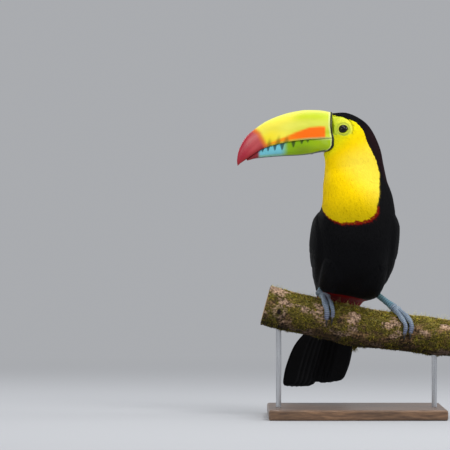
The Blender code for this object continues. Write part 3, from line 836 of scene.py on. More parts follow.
def tail_vanes(material, rng):
    """Ten tail feathers, the middle pair uppermost, spread as the solid tail is."""
    root, tip, left = (np.array(v) for v in (TAIL_ROOT, TAIL_TIP, TAIL_LEFT))
    along = unit(tip - root)
    left = unit(left - along * (left @ along))
    up = unit(np.cross(left, along))
    count, rows = 10, 44
    place = np.linspace(-1, 1, count)
    share = np.linspace(-0.3, 1.0, rows)
    s = share * (lookup(TAIL_REACH, place) + rng.uniform(-0.008, 0.008, count))[:, None]
    spread = sum(lookup(TAIL_SPREAD, s + shift) for shift in np.linspace(-0.1, 0.1, 9)) / 9
    half_widths = spread * TAIL_VANE_SHARE * lookup(TAIL_VANE, share)
    lateral = place[:, None] * spread * (1 - TAIL_VANE_SHARE)
    lift = TAIL_ARCH * (1 - (lateral / spread) ** 2) + (1 - np.abs(place))[:, None] * TAIL_LAYERS - TAIL_SINK
    slope = (-2 * TAIL_ARCH * lateral / spread**2)[..., None]
    centres = root + (tip - root) * s[..., None] + left * lateral[..., None] + up * lift[..., None]
    lie = (centres, unit(left + up * slope), unit(up - left * slope))
    colours = BLACK * rng.uniform(0.9, 1.15, (count, 1))
    places = np.stack([0.1 + 0.08 * np.arange(count), np.full(count, 0.95)], axis=-1)
    long_feathers(
        "tail_feathers", lie, half_widths, colours, places, material, "tail", camber=0.03, edge_highlight=0.1
    )


# ---------------------------------------------------------------- bill

# Dark triangles that hang from the lower jaw's cutting edge, and dark smudges that rise over the upper jaw's:
# place, width and depth, and place and height.
TOOTH_MARKS = (
    (-125.5, 3.6, 4.6), (-118.4, 4.4, 6.4), (-109.4, 5.2, 8.4), (-99.9, 6.4, 10.0), (-85.0, 6.2, 9.0),
    (-73.9, 5.0, 5.4), (-66.0, 4.0, 3.8),
)
SMUDGES = ((-117.5, 12.0), (-105.5, 12.5), (-94.5, 9.0))
TOOTH_PITCH, TOOTH_DEPTH = 2.6, 0.75  # of the fine saw teeth of the cutting edges
LOWER_TEETH = 0.3  # how deep the lower jaw's teeth are, next to the upper's
FITTED_ROWS = 24.0  # how many of a jaw's rows are moved to fit the line round its base
# Top of the orange stripe, by X.
STRIPE_TOP = (
    (-128, 362), (-110.4, 368.4), (-96.3, 373.6), (-82.5, 379.8), (-63.8, 386.4), (-50, 387.8), (-43, 387.4),
)


def rim_width(z):
    """Half the width that the base of the bill needs at a height to lie over the front of the head."""
    station, angle = grid(np.linspace(0, 1.6, 60), np.linspace(0, math.pi, 160))
    x, y, height = np.moveaxis(body_surface(station, angle, np.zeros(station.shape)), -1, 0)
    under = x < base_line(height) + 2.0
    heights = np.arange(345.0, 412.0)
    widths = [np.abs(y - BILL_Y)[under & (np.abs(height - h) < 1.0)].max(initial=0.0) for h in heights]
    return np.interp(z, heights, np.convolve(np.pad(widths, 1, "edge"), (0.25, 0.5, 0.25), "valid"))


def jaw_rings(ridge, edges, half_widths, fullness, drop, palate):
    """Fine rings of a jaw, and for each point its share of the way from cutting edge to ridge."""
    rows, sides = 260, 61
    place = np.linspace(0, 1, rows) ** 1.05 * (len(ridge) - 1)
    edge, top, width = spline(edges, place), spline(ridge, place), spline(half_widths, place)
    edge_x, edge_z = edge[:, :1], edge[:, 1:] - drop
    turn = np.linspace(0, math.pi, sides)
    cosine, rise = np.cos(turn), np.sin(turn) ** fullness
    x = edge_x + (top[:, :1] - edge_x) * rise
    saw = (1 - np.abs(2 * ((x / TOOTH_PITCH) % 1.0) - 1)) * TOOTH_DEPTH
    saw = saw * smooth(-x, 62, 92) * (1 - smooth(-x, 126, 140))
    z = edge_z + (top[:, 1:] - edge_z) * rise
    z = z - saw * (1 - smooth(rise, 0.0, 0.12)) * (LOWER_TEETH if drop else 1.0)
    y = width * np.sign(cosine) * np.abs(cosine) ** 0.75
    inner = np.linspace(-1, 1, 11)[1:-1]
    inner_z = edge_z + (palate * width + 1.2 * drop) * (1 - inner**2)
    inner_x = np.broadcast_to(edge_x, inner_z.shape)
    rings = np.dstack([np.hstack([x, inner_x]), np.hstack([y, width * inner]), np.hstack([z, inner_z])])
    height = np.hstack([np.broadcast_to(rise, x.shape), np.zeros(inner_z.shape)])
    fade = np.clip(1 - np.arange(rows) / FITTED_ROWS, 0, 1)[:, None] ** 1.5
    rings[..., 0] += (base_line(rings[0, :, 2]) + 1.5 - rings[0, :, 0]) * fade
    flare = np.maximum(rim_width(rings[..., 2]) - np.abs(rings[..., 1]), 0) * smooth(rings[..., 0], -52, -36)
    flare[:, sides:] = 0
    rings[..., 1] = BILL_Y + rings[..., 1] + np.sign(rings[..., 1]) * flare
    return rings, height


def edge_height(x):
    return lookup(CUTTING_EDGE[::-1], x)


def band_colour(colour, rings):
    """The black line round the base of the bill, the pale line before it and the bare skin behind it."""
    ahead = base_line(rings[..., 2]) - rings[..., 0]
    line = 0.9 + 1.1 * (1 - smooth(rings[..., 2], 360, 378))
    return painted(
        colour,
        ((222, 230, 150), smooth(ahead, 0.9, 1.7) * (1 - smooth(ahead, 2.6, 3.9)) * 0.7),
        ((9, 9, 9), smooth(ahead, -1.5, -1.0) * (1 - smooth(ahead - line, 0, 0.5))),
        ((150, 164, 24), smooth(-ahead, 1.3, 1.6)),
    )


def upper_bill_colour(rings, height):
    x, z = rings[..., 0], rings[..., 2]
    above = z - edge_height(x)
    stripe = smooth(lookup(STRIPE_TOP, x) - z, -1.8, 1.4) * smooth(above, 0.7, 1.7)
    stripe = stripe * smooth(-43.0 - x, -1.8, 1.6)
    smudge = np.zeros_like(x)
    for place, tall in SMUDGES:
        reach = 3.3 * (1 - 0.7 * np.clip(above / tall, 0, 1)) - np.abs(x - place - above * 0.12)
        smudge = np.maximum(smudge, smooth(reach, -2.2, 2.2) * (1 - smooth(above, tall * 0.2, tall * 1.15)))
    past_limit = np.interp(height, (0, 0.3, 0.7, 1), (-121.5, -125.5, -131, -137.5)) - x
    red = painted(
        srgb(196, 80, 84),
        ((176, 36, 56), smooth(-x, 134, 152)),
        ((160, 38, 44), 1 - smooth(above, 0.5, 8.0)),
        # painted highlight high on the red tip
        ((208, 118, 116), peak(height, 0.7, 0.14) * smooth(x, -154, -140) * 0.55),
    )
    streak = 0.92 + 0.06 * np.sin(height * 34 + 2.0 * np.sin(x * 0.12)) * np.sin(height * 13 + x * 0.05 + 1.0)
    colour = painted(
        srgb(246, 233, 78),
        ((196, 208, 44), smooth(x, -104, -52)),
        ((228, 230, 96), peak(height, 0.52, 0.16) * 0.6),
        ((196, 214, 20), peak(height, 0.78, 0.1) * smooth(x, -92, -72) * 0.75),
        # painted highlight along the ridge of the bill
        ((240, 240, 110), smooth(height, 0.9, 0.965) * 0.85),
        ((246, 222, 20), (1 - smooth(x, -118, -90)) * (1 - smooth(height, 0.4, 0.85)) * 0.8),
    )
    orange = painted(srgb(255, 112, 0), ((252, 148, 0), 1 - smooth(x, -112, -70)))
    colour = painted(
        blend(colour, orange, stripe),
        ((214, 222, 150), (1 - smooth(above, 0.9, 2.0)) * smooth(x, -88, -62) * 0.8),
        ((104, 104, 10), smudge * 0.68),
        ((222, 112, 44), smooth(past_limit, -5.5, 0.5)),
    )
    return band_colour(blend(colour, red * streak[..., None], smooth(past_limit, -0.5, 4.5)), rings)


def lower_bill_colour(rings):
    x, z = rings[..., 0], rings[..., 2]
    below = edge_height(x) - z
    over_keel = z - lookup(KEEL[::-1], x)
    dark = np.interp(x, (-130, -70, -44), (1.0, 1.1, 2.4))
    marks = np.zeros_like(x)
    for place, width, depth in TOOTH_MARKS:
        down = (below - 0.5) / depth
        reach = width / 2 * np.clip(1 - down, 0, 1) ** 0.8 - np.abs(x - place)
        mark = smooth(reach, -0.8, 0.7) * smooth(down, -0.2, 0.02) * (1 - smooth(down, 0.75, 1.05))
        marks = np.maximum(marks, mark)
    green = painted(
        srgb(136, 182, 0),
        ((160, 190, 0), smooth(x, -80, -45)),
        ((124, 146, 4), peak(x, -72, 13) * peak(z, 358, 5) * 0.7),
    )
    colour = painted(
        blend(srgb(116, 200, 216), green, smooth(x, -103, -91)),
        ((190, 204, 120), (1 - smooth(below, 1.0, 2.4)) * smooth(x, -62, -46)),
        ((170, 198, 60), (1 - smooth(over_keel, 2.4, 4.4)) * 0.35),
    )
    ink = painted(srgb(24, 70, 84), ((34, 60, 18), smooth(x, -104, -94)))
    colour = painted(
        blend(colour, ink, marks * 0.85),
        ((10, 34, 38), 1 - smooth(over_keel, dark * 0.55, dark * 1.2)),
        ((146, 38, 46), smooth(-x, 128, 133)),
    )
    return band_colour(colour, rings)


def make_bill(material):
    jaws = {
        "bill_upper": (CULMEN, CUTTING_EDGE, BILL_HALF_WIDTHS, 0.85, 0.0, 0.12),
        "bill_lower": (KEEL, CUTTING_EDGE[: len(KEEL)], LOWER_HALF_WIDTHS, 0.8, JAW_GAP, 0.08),
    }
    for jaw, forms in jaws.items():
        rings, height = jaw_rings(*forms)
        colours = upper_bill_colour(rings, height) if jaw == "bill_upper" else lower_bill_colour(rings)
        ahead = base_line(rings[..., 2]) - rings[..., 0]
        raised = 0.5 * np.exp(-((ahead / 1.2) ** 4))
        outward = unit((rings - rings.mean(axis=1, keepdims=True)) * np.array((0.0, 1.0, 1.0)))
        mesh = tubes_mesh(f"{jaw}_horn", (rings + outward * raised[..., None], colours))
        new_object(mesh, material, "bill", jaw)


# ---------------------------------------------------------------- eyes

EYE_RADIUS = 6.8
LID_OPENING = 5.8
EYEBALL_INSET = 0.25
CORNEA_HEIGHT, CORNEA_SPREAD = 0.35, 0.55
LID_LIFT = 0.75


def eye_place(side):
    """The middle of an eye, and 1 or -1 for the way it looks."""
    low, high = (np.array(c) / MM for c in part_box(f"eye_{side}"))
    centre = (low + high) / 2
    return centre, 1.0 if centre[1] > BILL_Y else -1.0


def make_eye(side, material):
    """An eyeball with a slightly domed cornea, its iris and its pupil."""
    centre, outward = eye_place(side)
    p, t = grid(np.linspace(0.03, math.pi - 0.03, 40), round_circle(56, 0, 2 * math.pi))
    radius = EYE_RADIUS - EYEBALL_INSET + CORNEA_HEIGHT * peak(p, 0, CORNEA_SPREAD)
    ball = np.stack([np.sin(p) * np.cos(t), outward * np.cos(p), np.sin(p) * np.sin(t)], axis=-1)
    off_axis = np.sin(p) * EYE_RADIUS
    colour = painted(
        srgb(2, 2, 2),
        ((22, 19, 10), smooth(off_axis, 2.9, 3.5)),
        ((36, 33, 16), smooth(off_axis, 3.8, 4.8) * 0.6),
        ((8, 8, 5), smooth(off_axis, 5.0, 5.6)),
    )
    mesh = tubes_mesh(f"eyeball_{side}", (centre + radius[..., None] * ball, colour))
    new_object(mesh, material, "eye", f"eye_{side}")


def make_orbit(side, skin, material):
    """The bare skin round an eye: lids that hold the eyeball, a pale ring, fine folds, and an edge under the
    feathers. skin is a tree of the skin's faces."""
    centre, outward = eye_place(side)
    turn = round_circle(120, 0, 2 * math.pi)
    share = np.linspace(0, 1, 44)[:, None]
    reach = np.interp(np.degrees(turn), np.arange(0, 361, 45), (12, 14, 15.5, 15, 13.5, 13.5, 13, 12.5, 12))
    opening = LID_OPENING * (1 - 0.05 * np.sin(turn) ** 2)
    away = (reach - opening) * share**1.25
    r, t = opening + away, np.broadcast_to(turn, away.shape)
    x, z = centre[0] + r * np.cos(t), centre[2] + r * np.sin(t)
    y = np.empty(r.shape)
    for index in np.ndindex(*r.shape):
        origin = Vector((x[index], BILL_Y + outward * 60, z[index]))
        hit = skin.ray_cast(origin, Vector((0, -outward, 0)))[0]
        y[index] = hit[1] if hit is not None else centre[1]
    wander = 1.7 * np.sin(t * 2 + 0.6) + 1.1 * np.sin(t * 5 + 2.2) + 0.5 * np.sin(t * 9)
    folds = 0.09 * np.sin(away * 3.2 + wander) * smooth(away, 2.4, 3.8) * (1 - smooth(share, 0.75, 1.0))
    lower_lid = 0.35 * peak(away, 5.2, 0.6) * smooth(-np.sin(t), 0.3, 0.9)
    rim, groove = 0.55 * peak(away, 0.9, 0.75), -0.28 * peak(away, 2.3, 0.5)
    lift = LID_LIFT * (1 - smooth(share, 0.8, 1.0)) + rim + groove + folds + lower_lid
    hug = 1 - smooth(away, 0.0, 1.3)
    ball = centre[1] + outward * (np.sqrt(np.maximum(EYE_RADIUS**2 - r**2, 0.0)) + 0.22)
    points = np.stack([x, ball * hug + (y + outward * lift) * (1 - hug), z], axis=-1)
    inner = points[:1] - np.array((0.0, outward * 1.2, 0.0))
    beneath = points[-2::-4] - np.array((0.0, outward * 0.9, 0.0))
    points = np.concatenate([inner, points, beneath])
    colour = painted(
        srgb(172, 182, 22),
        ((212, 216, 26), smooth(away, 2.2, 5.2)),
        ((166, 190, 12), smooth(away, 1.6, 4.0) * smooth(-np.cos(t) - 0.6 * np.sin(t), -0.4, 0.9) * 0.8),
        ((236, 216, 12), smooth(away, 3.5, 7.5) * smooth(np.cos(t), 0.1, 0.8) * 0.7),
        ((206, 212, 66), peak(away, 1.4, 0.9) * (0.55 + 0.45 * smooth(-np.sin(t), -0.5, 0.8))),
        ((24, 26, 14), 1 - smooth(away, 0.15, 0.6)),
        # painted shade in the groove round the eye
        ((136, 148, 14), peak(away, 2.3, 0.7) * 0.35),
    )
    colour = np.concatenate([colour[:1], colour, colour[-2::-4]])
    rows, sides = points.shape[:2]
    flat = points.reshape(-1, 3)
    j = np.arange(sides)
    last = (rows - 1) * sides
    closing = np.stack([last + j, j, (j + 1) % sides, last + (j + 1) % sides], axis=-1)
    faces = np.vstack([ring_faces(rows, sides), closing])
    if faces_inwards(flat, faces):
        faces = faces[:, ::-1]
    uvs = flat[:, [0, 2]] - centre[[0, 2]]
    uvs = uvs / (np.abs(uvs).max() * 2.1) + 0.5
    mesh = make_mesh(f"eye_skin_{side}", flat, colour.reshape(-1, 3), uvs, faces)
    new_object(mesh, material, "plumage_yellow")


# ---------------------------------------------------------------- perch, legs and claws

TOE_SKIN = srgb(138, 154, 172)
TARSUS_SKIN = srgb(104, 140, 142)
# Lighter turquoise low on the tarsus: partly the skin's own colour, partly painted highlight.
ANKLE_SKIN_LIT = srgb(116, 160, 178)
TOE_TIP_SKIN = srgb(80, 82, 108)
SCUTE_LINE = srgb(24, 32, 42)
KNUCKLES = {"right": 7.6, "left": 6.4}  # radius of the knuckle where the toes meet
PAD_HEIGHT = 5.2
# The right foot's outer toe bears the weight and spreads.
TOE_FULLNESS = {("right", "front_outer"): 1.2, ("right", "front_inner"): 0.95, ("left", "front_outer"): 1.08}


def perch_radius(x, angle):
    radius = PERCH_RADIUS - PERCH_TAPER * x
    for place, direction, height, reach, spread in PERCH_SWELLINGS:
        radius = radius + height * peak(x, place, reach) * peak(wrap(angle - direction), 0, spread)
    return radius


def perch_point(x, angle, lift=0.0):
    """Points over the bark, at angles in degrees round from the top towards the bird's front."""
    x, angle, lift = np.broadcast_arrays(*(np.asarray(v, float) for v in (x, angle, lift)))
    slope = -PERCH_FALL + 2 * PERCH_BEND * x
    up = unit(np.stack([-slope, np.zeros_like(x), np.ones_like(x)], axis=-1))
    front = np.array((0.0, -1.0, 0.0))
    turn = np.radians(angle)[..., None]
    centre = np.stack([x, np.zeros_like(x), PERCH_HEIGHT - PERCH_FALL * x + PERCH_BEND * x**2], axis=-1)
    return centre + (perch_radius(x, angle) + lift)[..., None] * (np.cos(turn) * up + np.sin(turn) * front)


def tube_rings(centres, radii, sides):
    """Rings square to a path, none twisted."""
    along = unit(np.gradient(centres, axis=0))
    across = np.empty_like(centres)
    guess = np.array((1.0, 0.0, 0.0))
    for i, direction in enumerate(along):
        guess = unit(guess - direction * (guess @ direction))
        across[i] = guess
    turn = (2 * math.pi * (np.arange(sides) + 0.5) / sides)[:, None]
    offset = np.cos(turn) * across[:, None] + np.sin(turn) * np.cross(along, across)[:, None]
    return centres[:, None] + radii[:, None, None] * offset


def scaled_tube(path, radii, rows, sides, colour, scute, upward):
    """A toe or a tarsus: overlapping scutes along its upper face, fine pads beneath."""
    share = np.linspace(0, 1, rows)
    centres = spline(path, share * (len(path) - 1))
    radius = spline(radii, share * (len(radii) - 1))[:, 0]
    length = np.concatenate([[0], np.cumsum(np.linalg.norm(np.diff(centres, axis=0), axis=1))])[:, None]
    outward = unit(tube_rings(centres, radius, sides) - centres[:, None])
    facing = smooth((outward * upward[:, None]).sum(-1), -0.15, 0.45)
    phase = (length / scute) % 1.0
    groove = peak(np.minimum(phase, 1 - phase), 0, 0.16)
    pads = 0.5 + 0.5 * np.cos(2 * math.pi * length / (scute * 2.6))
    detail = facing * (0.20 * (phase - 0.5) - 0.36 * groove) + (1 - facing) * (0.30 * pads - 0.12)
    rings = centres[:, None] + outward * (radius[:, None] + detail)[..., None]
    tints = blend(np.broadcast_to(colour, (rows, 3))[:, None], SCUTE_LINE, groove * facing * 0.8)
    return rings, painted(tints, ((150, 160, 160), (1 - facing) * 0.35))


def claw_rings(route):
    """A claw: deeper than it is wide, curved over the bark to a point."""
    end, before = np.array(route[-1], float), np.array(route[-2], float)
    heading = (end - before) / abs(end[1] - before[1])
    share = np.linspace(0, 1, 26)
    x, angle = (end + heading * (-3.0 + (CLAW_LENGTH + 2.0) * share)[:, None]).T
    radius = spline(CLAW_RADII, share * 3)[:, 0]
    arch = 2.0 * np.sin(math.pi * np.clip(share * 1.02, 0, 1))
    centres = perch_point(x, angle, radius + 0.4 + arch)
    rings = tube_rings(centres, radius, 18)
    rings[..., 0] -= (rings - centres[:, None])[..., 0] * CLAW_SLIMNESS
    dark = painted(srgb(86, 76, 66), ((24, 20, 18), smooth(share, 0.0, 0.35)))
    return rings, np.broadcast_to(dark[:, None], rings.shape)


def make_feet(skin, horn):
    rows, toe_rows = 90, 84
    down, along = np.linspace(0, 1, rows), np.linspace(0, 1, toe_rows)
    front = np.broadcast_to(unit(np.array((0.25, -1.0, 0.35))), (rows, 3))
    toe_skin = blend(TOE_SKIN, TOE_TIP_SKIN, 0.8 * smooth(along, 0.4, 0.95))
    knuckles = 1.05 + 0.08 * np.cos(along * 2 * math.pi * 2.5)
    root = (1 - along)[:, None] ** 6 * 0.45
    for side, leg in LEGS.items():
        heel, foot = np.array(leg["heel"], float), np.array(leg["foot"], float)
        path = np.array([heel + (foot - heel) * share for share in (-0.35, 0.0, 0.33, 0.7, 1.0)])
        # The tarsus lighter towards the foot: partly its own turquoise, partly painted highlight.
        ankle = blend(TARSUS_SKIN, ANKLE_SKIN_LIT, smooth(down, 0.45, 0.85))
        ankle = blend(ankle, TOE_SKIN, smooth(down, 0.9, 1.0))
        # Painted shade: the left tarsus darker at its top, where it comes out from under the body.
        if side == "left":
            ankle = ankle * (0.5 + 0.5 * smooth(down, 0.2, 0.55))[:, None]
        parts = [scaled_tube(path, TARSUS_RADII, rows, 28, ankle, 3.4, front)]
        pad = perch_point(foot[0], 0, PAD_HEIGHT)
        for toe, route in leg["toes"].items():
            x, angle = spline(route, along * (len(route) - 1)).T
            radius = spline(TOE_RADII, along * 3)[:, 0]
            centres = perch_point(x, angle, radius + 0.35)
            upward = unit(centres - perch_point(x, angle))
            centres = centres * (1 - root) + pad * root
            radius = radius * TOE_FULLNESS.get((side, toe), 1.0) * knuckles
            parts.append(scaled_tube(centres, radius, toe_rows, 24, toe_skin, 2.5, upward))
        turn = np.linspace(0.15, math.pi - 0.15, 16)
        ball = pad + np.cos(turn)[:, None] * np.array((0, 0, PAD_HEIGHT))
        upward = np.broadcast_to((0.0, 0.0, 1.0), (16, 3))
        parts.append(scaled_tube(ball, KNUCKLES[side] * np.sin(turn), 16, 28, TOE_SKIN, 2.5, upward))
        names = [f"toe_{toe}_{side}" for toe in leg["toes"]]
        new_object(tubes_mesh(f"foot_skin_{side}", *parts), skin, "leg_skin", f"tarsus_{side}", *names)
        claws = [claw_rings(route) for route in leg["toes"].values()]
        nails = [name.replace("toe", "claw") for name in names]
        new_object(tubes_mesh(f"claws_{side}", *claws), horn, "claw", *nails)


# ---------------------------------------------------------------- bark and moss

BARK_DARK = srgb(74, 56, 38)
BARK_LIGHT = srgb(158, 124, 86)
MOSS_GREEN = srgb(192, 176, 56)
MOSS_DARK = srgb(116, 109, 36)
LICHEN = srgb(206, 172, 146)
BARK_PER_DEGREE = math.radians(1) * PERCH_RADIUS
BARK_SAMPLE_RADIUS = 26
FRACTAL = (0.9, 2.1, 4)  # smoothness, step between octaves and octaves of the bark's noise
KNOT = (-103.0, 98.0, 3.6)  # place along the perch, angle and radius
HANGING_MOSS = (2.0, 172.0)  # place along the perch and angle
MOSS_LEAVES, MOSS_LEAVES_QUICK, TUFT_LEAVES = 49000, 12000, 60
# Place, angle, half length and half turn.
BARE_PATCHES = ((-80, 78, 27, 22), (39, 74, 11, 13), (118, 52, 12, 14))
DRYING_CRACKS = ((52, 0.62, 1.5), (203, 0.45, 1.3))  # angle, reach and width


def fractal(points, scale, seed):
    """Smooth noise from -1 to 1 at points in millimetres."""
    flat = points.reshape(-1, 3) * scale + seed
    values = np.fromiter((noise.fractal(Vector(p), *FRACTAL) for p in flat), float, len(flat))
    return values.reshape(points.shape[:-1])


def bark_fields(x, angle):
    """The bark's own relief, and where moss and lichen grow."""
    around = np.radians(angle)
    samples = np.stack([x, BARK_SAMPLE_RADIUS * np.cos(around), BARK_SAMPLE_RADIUS * np.sin(around)], axis=-1)
    broad = fractal(samples * np.array((0.7, 1.0, 1.0)), 0.045, 3.0)
    fissures = fractal(samples * np.array((0.35, 1.0, 1.0)), 0.16, 11.0)
    fine = fractal(samples, 0.42, 23.0)
    patches = fractal(samples * np.array((0.6, 1.0, 1.0)), 0.05, 41.0) + 0.12 * smooth(-x, 20, 90)
    for place, direction, half_length, half_turn in BARE_PATCHES:
        distance = np.hypot((x - place) / half_length, (angle - direction) / half_turn)
        patches = patches + 0.6 * (1 - smooth(distance + 0.4 * fissures, 0.5, 1.2))
    lichen = smooth(patches + 0.22 * fine, 0.16, 0.62)
    moss = smooth(fractal(samples, 0.05, 57.0) + 0.35 * np.cos(around) + 0.35, -0.15, 0.35) * (1 - lichen)
    return broad, fissures, fine, moss, lichen


def from_knot(x, angle):
    """Distance from the knot, in its radii."""
    return np.hypot(x - KNOT[0], wrap(angle - KNOT[1]) * BARK_PER_DEGREE) / KNOT[2]


def underside_shade(angle, share):
    """Painted shade and light: the branch's underside darker, and its top lit by the sky, by a share."""
    shaded_below = 1 - 0.5 * smooth(np.minimum(angle, 360 - angle), 108, 150)
    return (shaded_below * (1 - share + share * np.cos(np.radians(angle))))[..., None]


def make_bark(material):
    x, angle = grid(np.linspace(PERCH_LEFT, PERCH_RIGHT, 340), round_circle(200, 0, 360))
    broad, fissures, fine, moss, lichen = bark_fields(x, angle)
    relief = 0.8 * broad - 1.3 * np.abs(fissures) + 0.5 * fine + 0.7 * lichen * (0.5 + fine) - 0.1
    relief = relief * smooth(np.minimum(x - PERCH_LEFT, PERCH_RIGHT - x), 0.0, 1.5) - 0.15
    colour = blend(BARK_DARK, BARK_LIGHT, smooth(fissures + 0.5 * fine, -0.5, 0.6))
    colour = blend(colour, MOSS_DARK, moss * 0.8) * (0.55 + 0.6 * smooth(fine, -0.35, 0.3))[..., None]
    colour = blend(colour, LICHEN, lichen * smooth(fine, -0.7, 0.35) * 0.9)
    knot = from_knot(x, angle)
    colour = blend(colour, LICHEN, peak(knot, 1.9, 0.5) * smooth(fine, -0.5, 0.4) * 0.8)
    colour = painted(colour, ((34, 22, 18), 1 - smooth(knot + 0.3 * fine, 0.6, 1.3)))
    colour = colour * underside_shade(angle, 0.34)
    mesh = tubes_mesh("perch_bark", (perch_point(x, angle, relief)[1:-1], colour[1:-1]))
    new_object(mesh, material, "bark", "perch")


def make_cut(name, end, inwards, material):
    """The sawn end of the branch: growth rings inside a dark rim of bark, with a few drying cracks."""
    share, angle = grid(np.linspace(1.0, 0.02, 60), round_circle(120, 0, 360))
    lift = perch_radius(end, angle) * (0.975 * share - 1)
    turn = np.radians(angle)
    wobble = 0.06 * np.sin(turn * 2 + 0.6) + 0.04 * np.sin(turn * 3 + 2.0)
    distance = share * PERCH_RADIUS * (1 + wobble * share)
    grain = np.sin(distance * 3.1 + 0.9 * np.sin(distance * 0.55))
    cracks = np.zeros_like(share)
    for direction, reach, width in DRYING_CRACKS:
        off = np.abs(wrap(angle - direction + 6 * np.sin(share * 7))) * np.maximum(share, 0.1)
        cracks = np.maximum(cracks, (1 - smooth(off, 0.3, width)) * smooth(reach - share, -0.05, 0.2))
    depth = 0.14 * grain - 0.6 * cracks - 0.4 * smooth(share, 0.955, 1.0)
    face = perch_point(end + inwards * (0.35 - depth), angle, lift)
    back = perch_point(end + inwards * 6.0, angle[:1], lift[:1] - 1.0)
    colour = painted(
        srgb(150, 116, 78),
        ((186, 152, 108), 0.5 + 0.5 * grain),
        ((120, 88, 58), 1 - smooth(share, 0.1, 0.45)),
        ((52, 40, 28), np.maximum(smooth(share, 0.9, 0.95), cracks * 0.65)),
    )
    mesh = tubes_mesh(name, (np.concatenate([back, face]), np.concatenate([colour[:1], colour])))
    new_object(mesh, material, "bark")


def make_moss(material, rng):
    """Moss in clumps over the bark: short pointed leaves, with wisps that stand up where clumps are thick."""
    wanted = MOSS_LEAVES
    x = rng.uniform(PERCH_LEFT + 1, PERCH_RIGHT - 1, wanted)
    angle = rng.uniform(0, 360, wanted)
    _, _, _, moss, lichen = bark_fields(x, angle)
    clumps = smooth(fractal(np.stack([x, angle * 0.45, 0 * x], axis=-1), 0.16, 77.0), -0.35, 0.4)
    keep = rng.random(wanted) < np.maximum(moss * (0.25 + 0.75 * clumps), 0.12 * (1 - lichen))
    keep &= from_knot(x, angle) > 2.4
    x = np.append(x[keep], rng.normal(HANGING_MOSS[0], 1.1, TUFT_LEAVES))
    angle = np.append(angle[keep], rng.normal(HANGING_MOSS[1], 3.0, TUFT_LEAVES))
    moss, clumps = (np.append(field[keep], np.ones(TUFT_LEAVES)) for field in (moss, clumps))
    count = len(x)
    hanging = np.arange(count) >= count - TUFT_LEAVES
    root = perch_point(x, angle, -0.6)
    out = unit(root - perch_point(x, angle, -6.0))
    lean = rng.normal(0, 0.5, (count, 3))
    under = (angle > 110) & (angle < 250)
    heading = unit(out + lean - np.where(under, 1.0, 0.2)[:, None] * np.array((0, 0, 0.5)))
    top = np.minimum(angle, 360 - angle) < 65
    wisps = rng.random(count) < np.where(top, 0.10, 0.05) * clumps
    heading[hanging] = unit(lean[hanging] * 0.3 + np.array((0.0, 0.0, -1.0)))
    length = rng.uniform(0.8, 2.2, count) * (0.6 + 0.7 * moss) * np.where(wisps, np.where(top, 3.8, 2.0), 1.0)
    length[hanging] = rng.uniform(3.0, 11.0, TUFT_LEAVES)
    side = unit(np.cross(heading, rng.normal(0, 1, (count, 3))))
    width = (rng.uniform(0.2, 0.42, count) * np.where(wisps, 0.5, 1.0))[:, None]
    side, other, along = side * width, np.cross(heading, side) * width * 0.85, heading * length[:, None]
    corners = np.stack([side, other - side * 0.5, -other - side * 0.5], axis=1)
    tip = root + along + lean * 0.35 * length[:, None] * 0.5
    base, waist = root[:, None] + corners, (root + along * 0.5)[:, None] + corners * 0.9
    points = np.concatenate([base, waist, tip[:, None]], axis=1)
    quads = np.array([[0, 1, 4, 3], [1, 2, 5, 4], [2, 0, 3, 5]])
    triangles = np.array([[3, 4, 6], [4, 5, 6], [5, 3, 6], [2, 1, 0]])
    fresh = np.clip(rng.normal(0.3 + 0.45 * clumps, 0.4), 0, 1)
    colour = blend(MOSS_DARK, MOSS_GREEN, fresh) * rng.uniform(0.35, 1.6, (count, 1))
    brown = rng.random(count) < 0.28
    colour[brown] = srgb(158, 124, 78) * rng.uniform(0.4, 1.5, (brown.sum(), 1))
    colour[wisps] = srgb(192, 186, 108) * rng.uniform(0.8, 1.2, (wisps.sum(), 1))
    # Painted shade and light: each leaf dark at its base, deep in the mat, and bright at its tip, and the
    # moss darker where clumps thin out.
    colour = colour * underside_shade(angle, 0.2) * (0.75 + 0.45 * clumps)[:, None]
    tints = colour[:, None] * np.repeat((0.25, 0.85, 1.5), (3, 3, 1))[:, None]
    place = np.stack([angle / 360, (x - PERCH_LEFT) / (PERCH_RIGHT - PERCH_LEFT)], axis=-1) * 0.98 + 0.005
    local = np.array([(-0.5, 0), (0.5, 0), (0.2, 0.1), (-0.5, 0.6), (0.5, 0.6), (0.2, 0.7), (0, 1)]) * 0.003
    mesh = make_mesh(
        "perch_moss", points.reshape(-1, 3), tints.reshape(-1, 3), (place[:, None] + local).reshape(-1, 2),
        repeated(quads, count, 7), repeated(triangles, count, 7),
    )
    new_object(mesh, material, "bark")


# ---------------------------------------------------------------- stand, studio and camera

BACKDROP = (0.40, 0.41, 0.43, 1)
FLOOR = (0.50, 0.51, 0.53, 1)
# Name, place, size and power of each light.
LIGHTS = (
    ("key", (0.95, -1.6, 1.9), 0.9, 28.5),
    ("fill", (-1.5, -1.4, 0.8), 1.0, 9),
    ("rim_left", (-1.2, 1.1, 1.0), 0.8, 6),
    ("rim_right", (1.6, -0.2, 0.9), 0.8, 8),
    ("top", (0.0, -0.1, 2.0), 1.2, 14),
)


def dress_stand():
    wood, steel = wood_material(), steel_material()
    for name, material in (("stand_base", wood), ("stand_rod_left", steel), ("stand_rod_right", steel)):
        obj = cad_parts[name]
        obj.data.materials.clear()
        obj.data.materials.append(material)


def place_object(name, data, place, rotation):
    obj = bpy.data.objects.new(name, data)
    obj.location = place
    obj.rotation_euler = rotation
    bpy.context.scene.collection.objects.link(obj)
    return obj


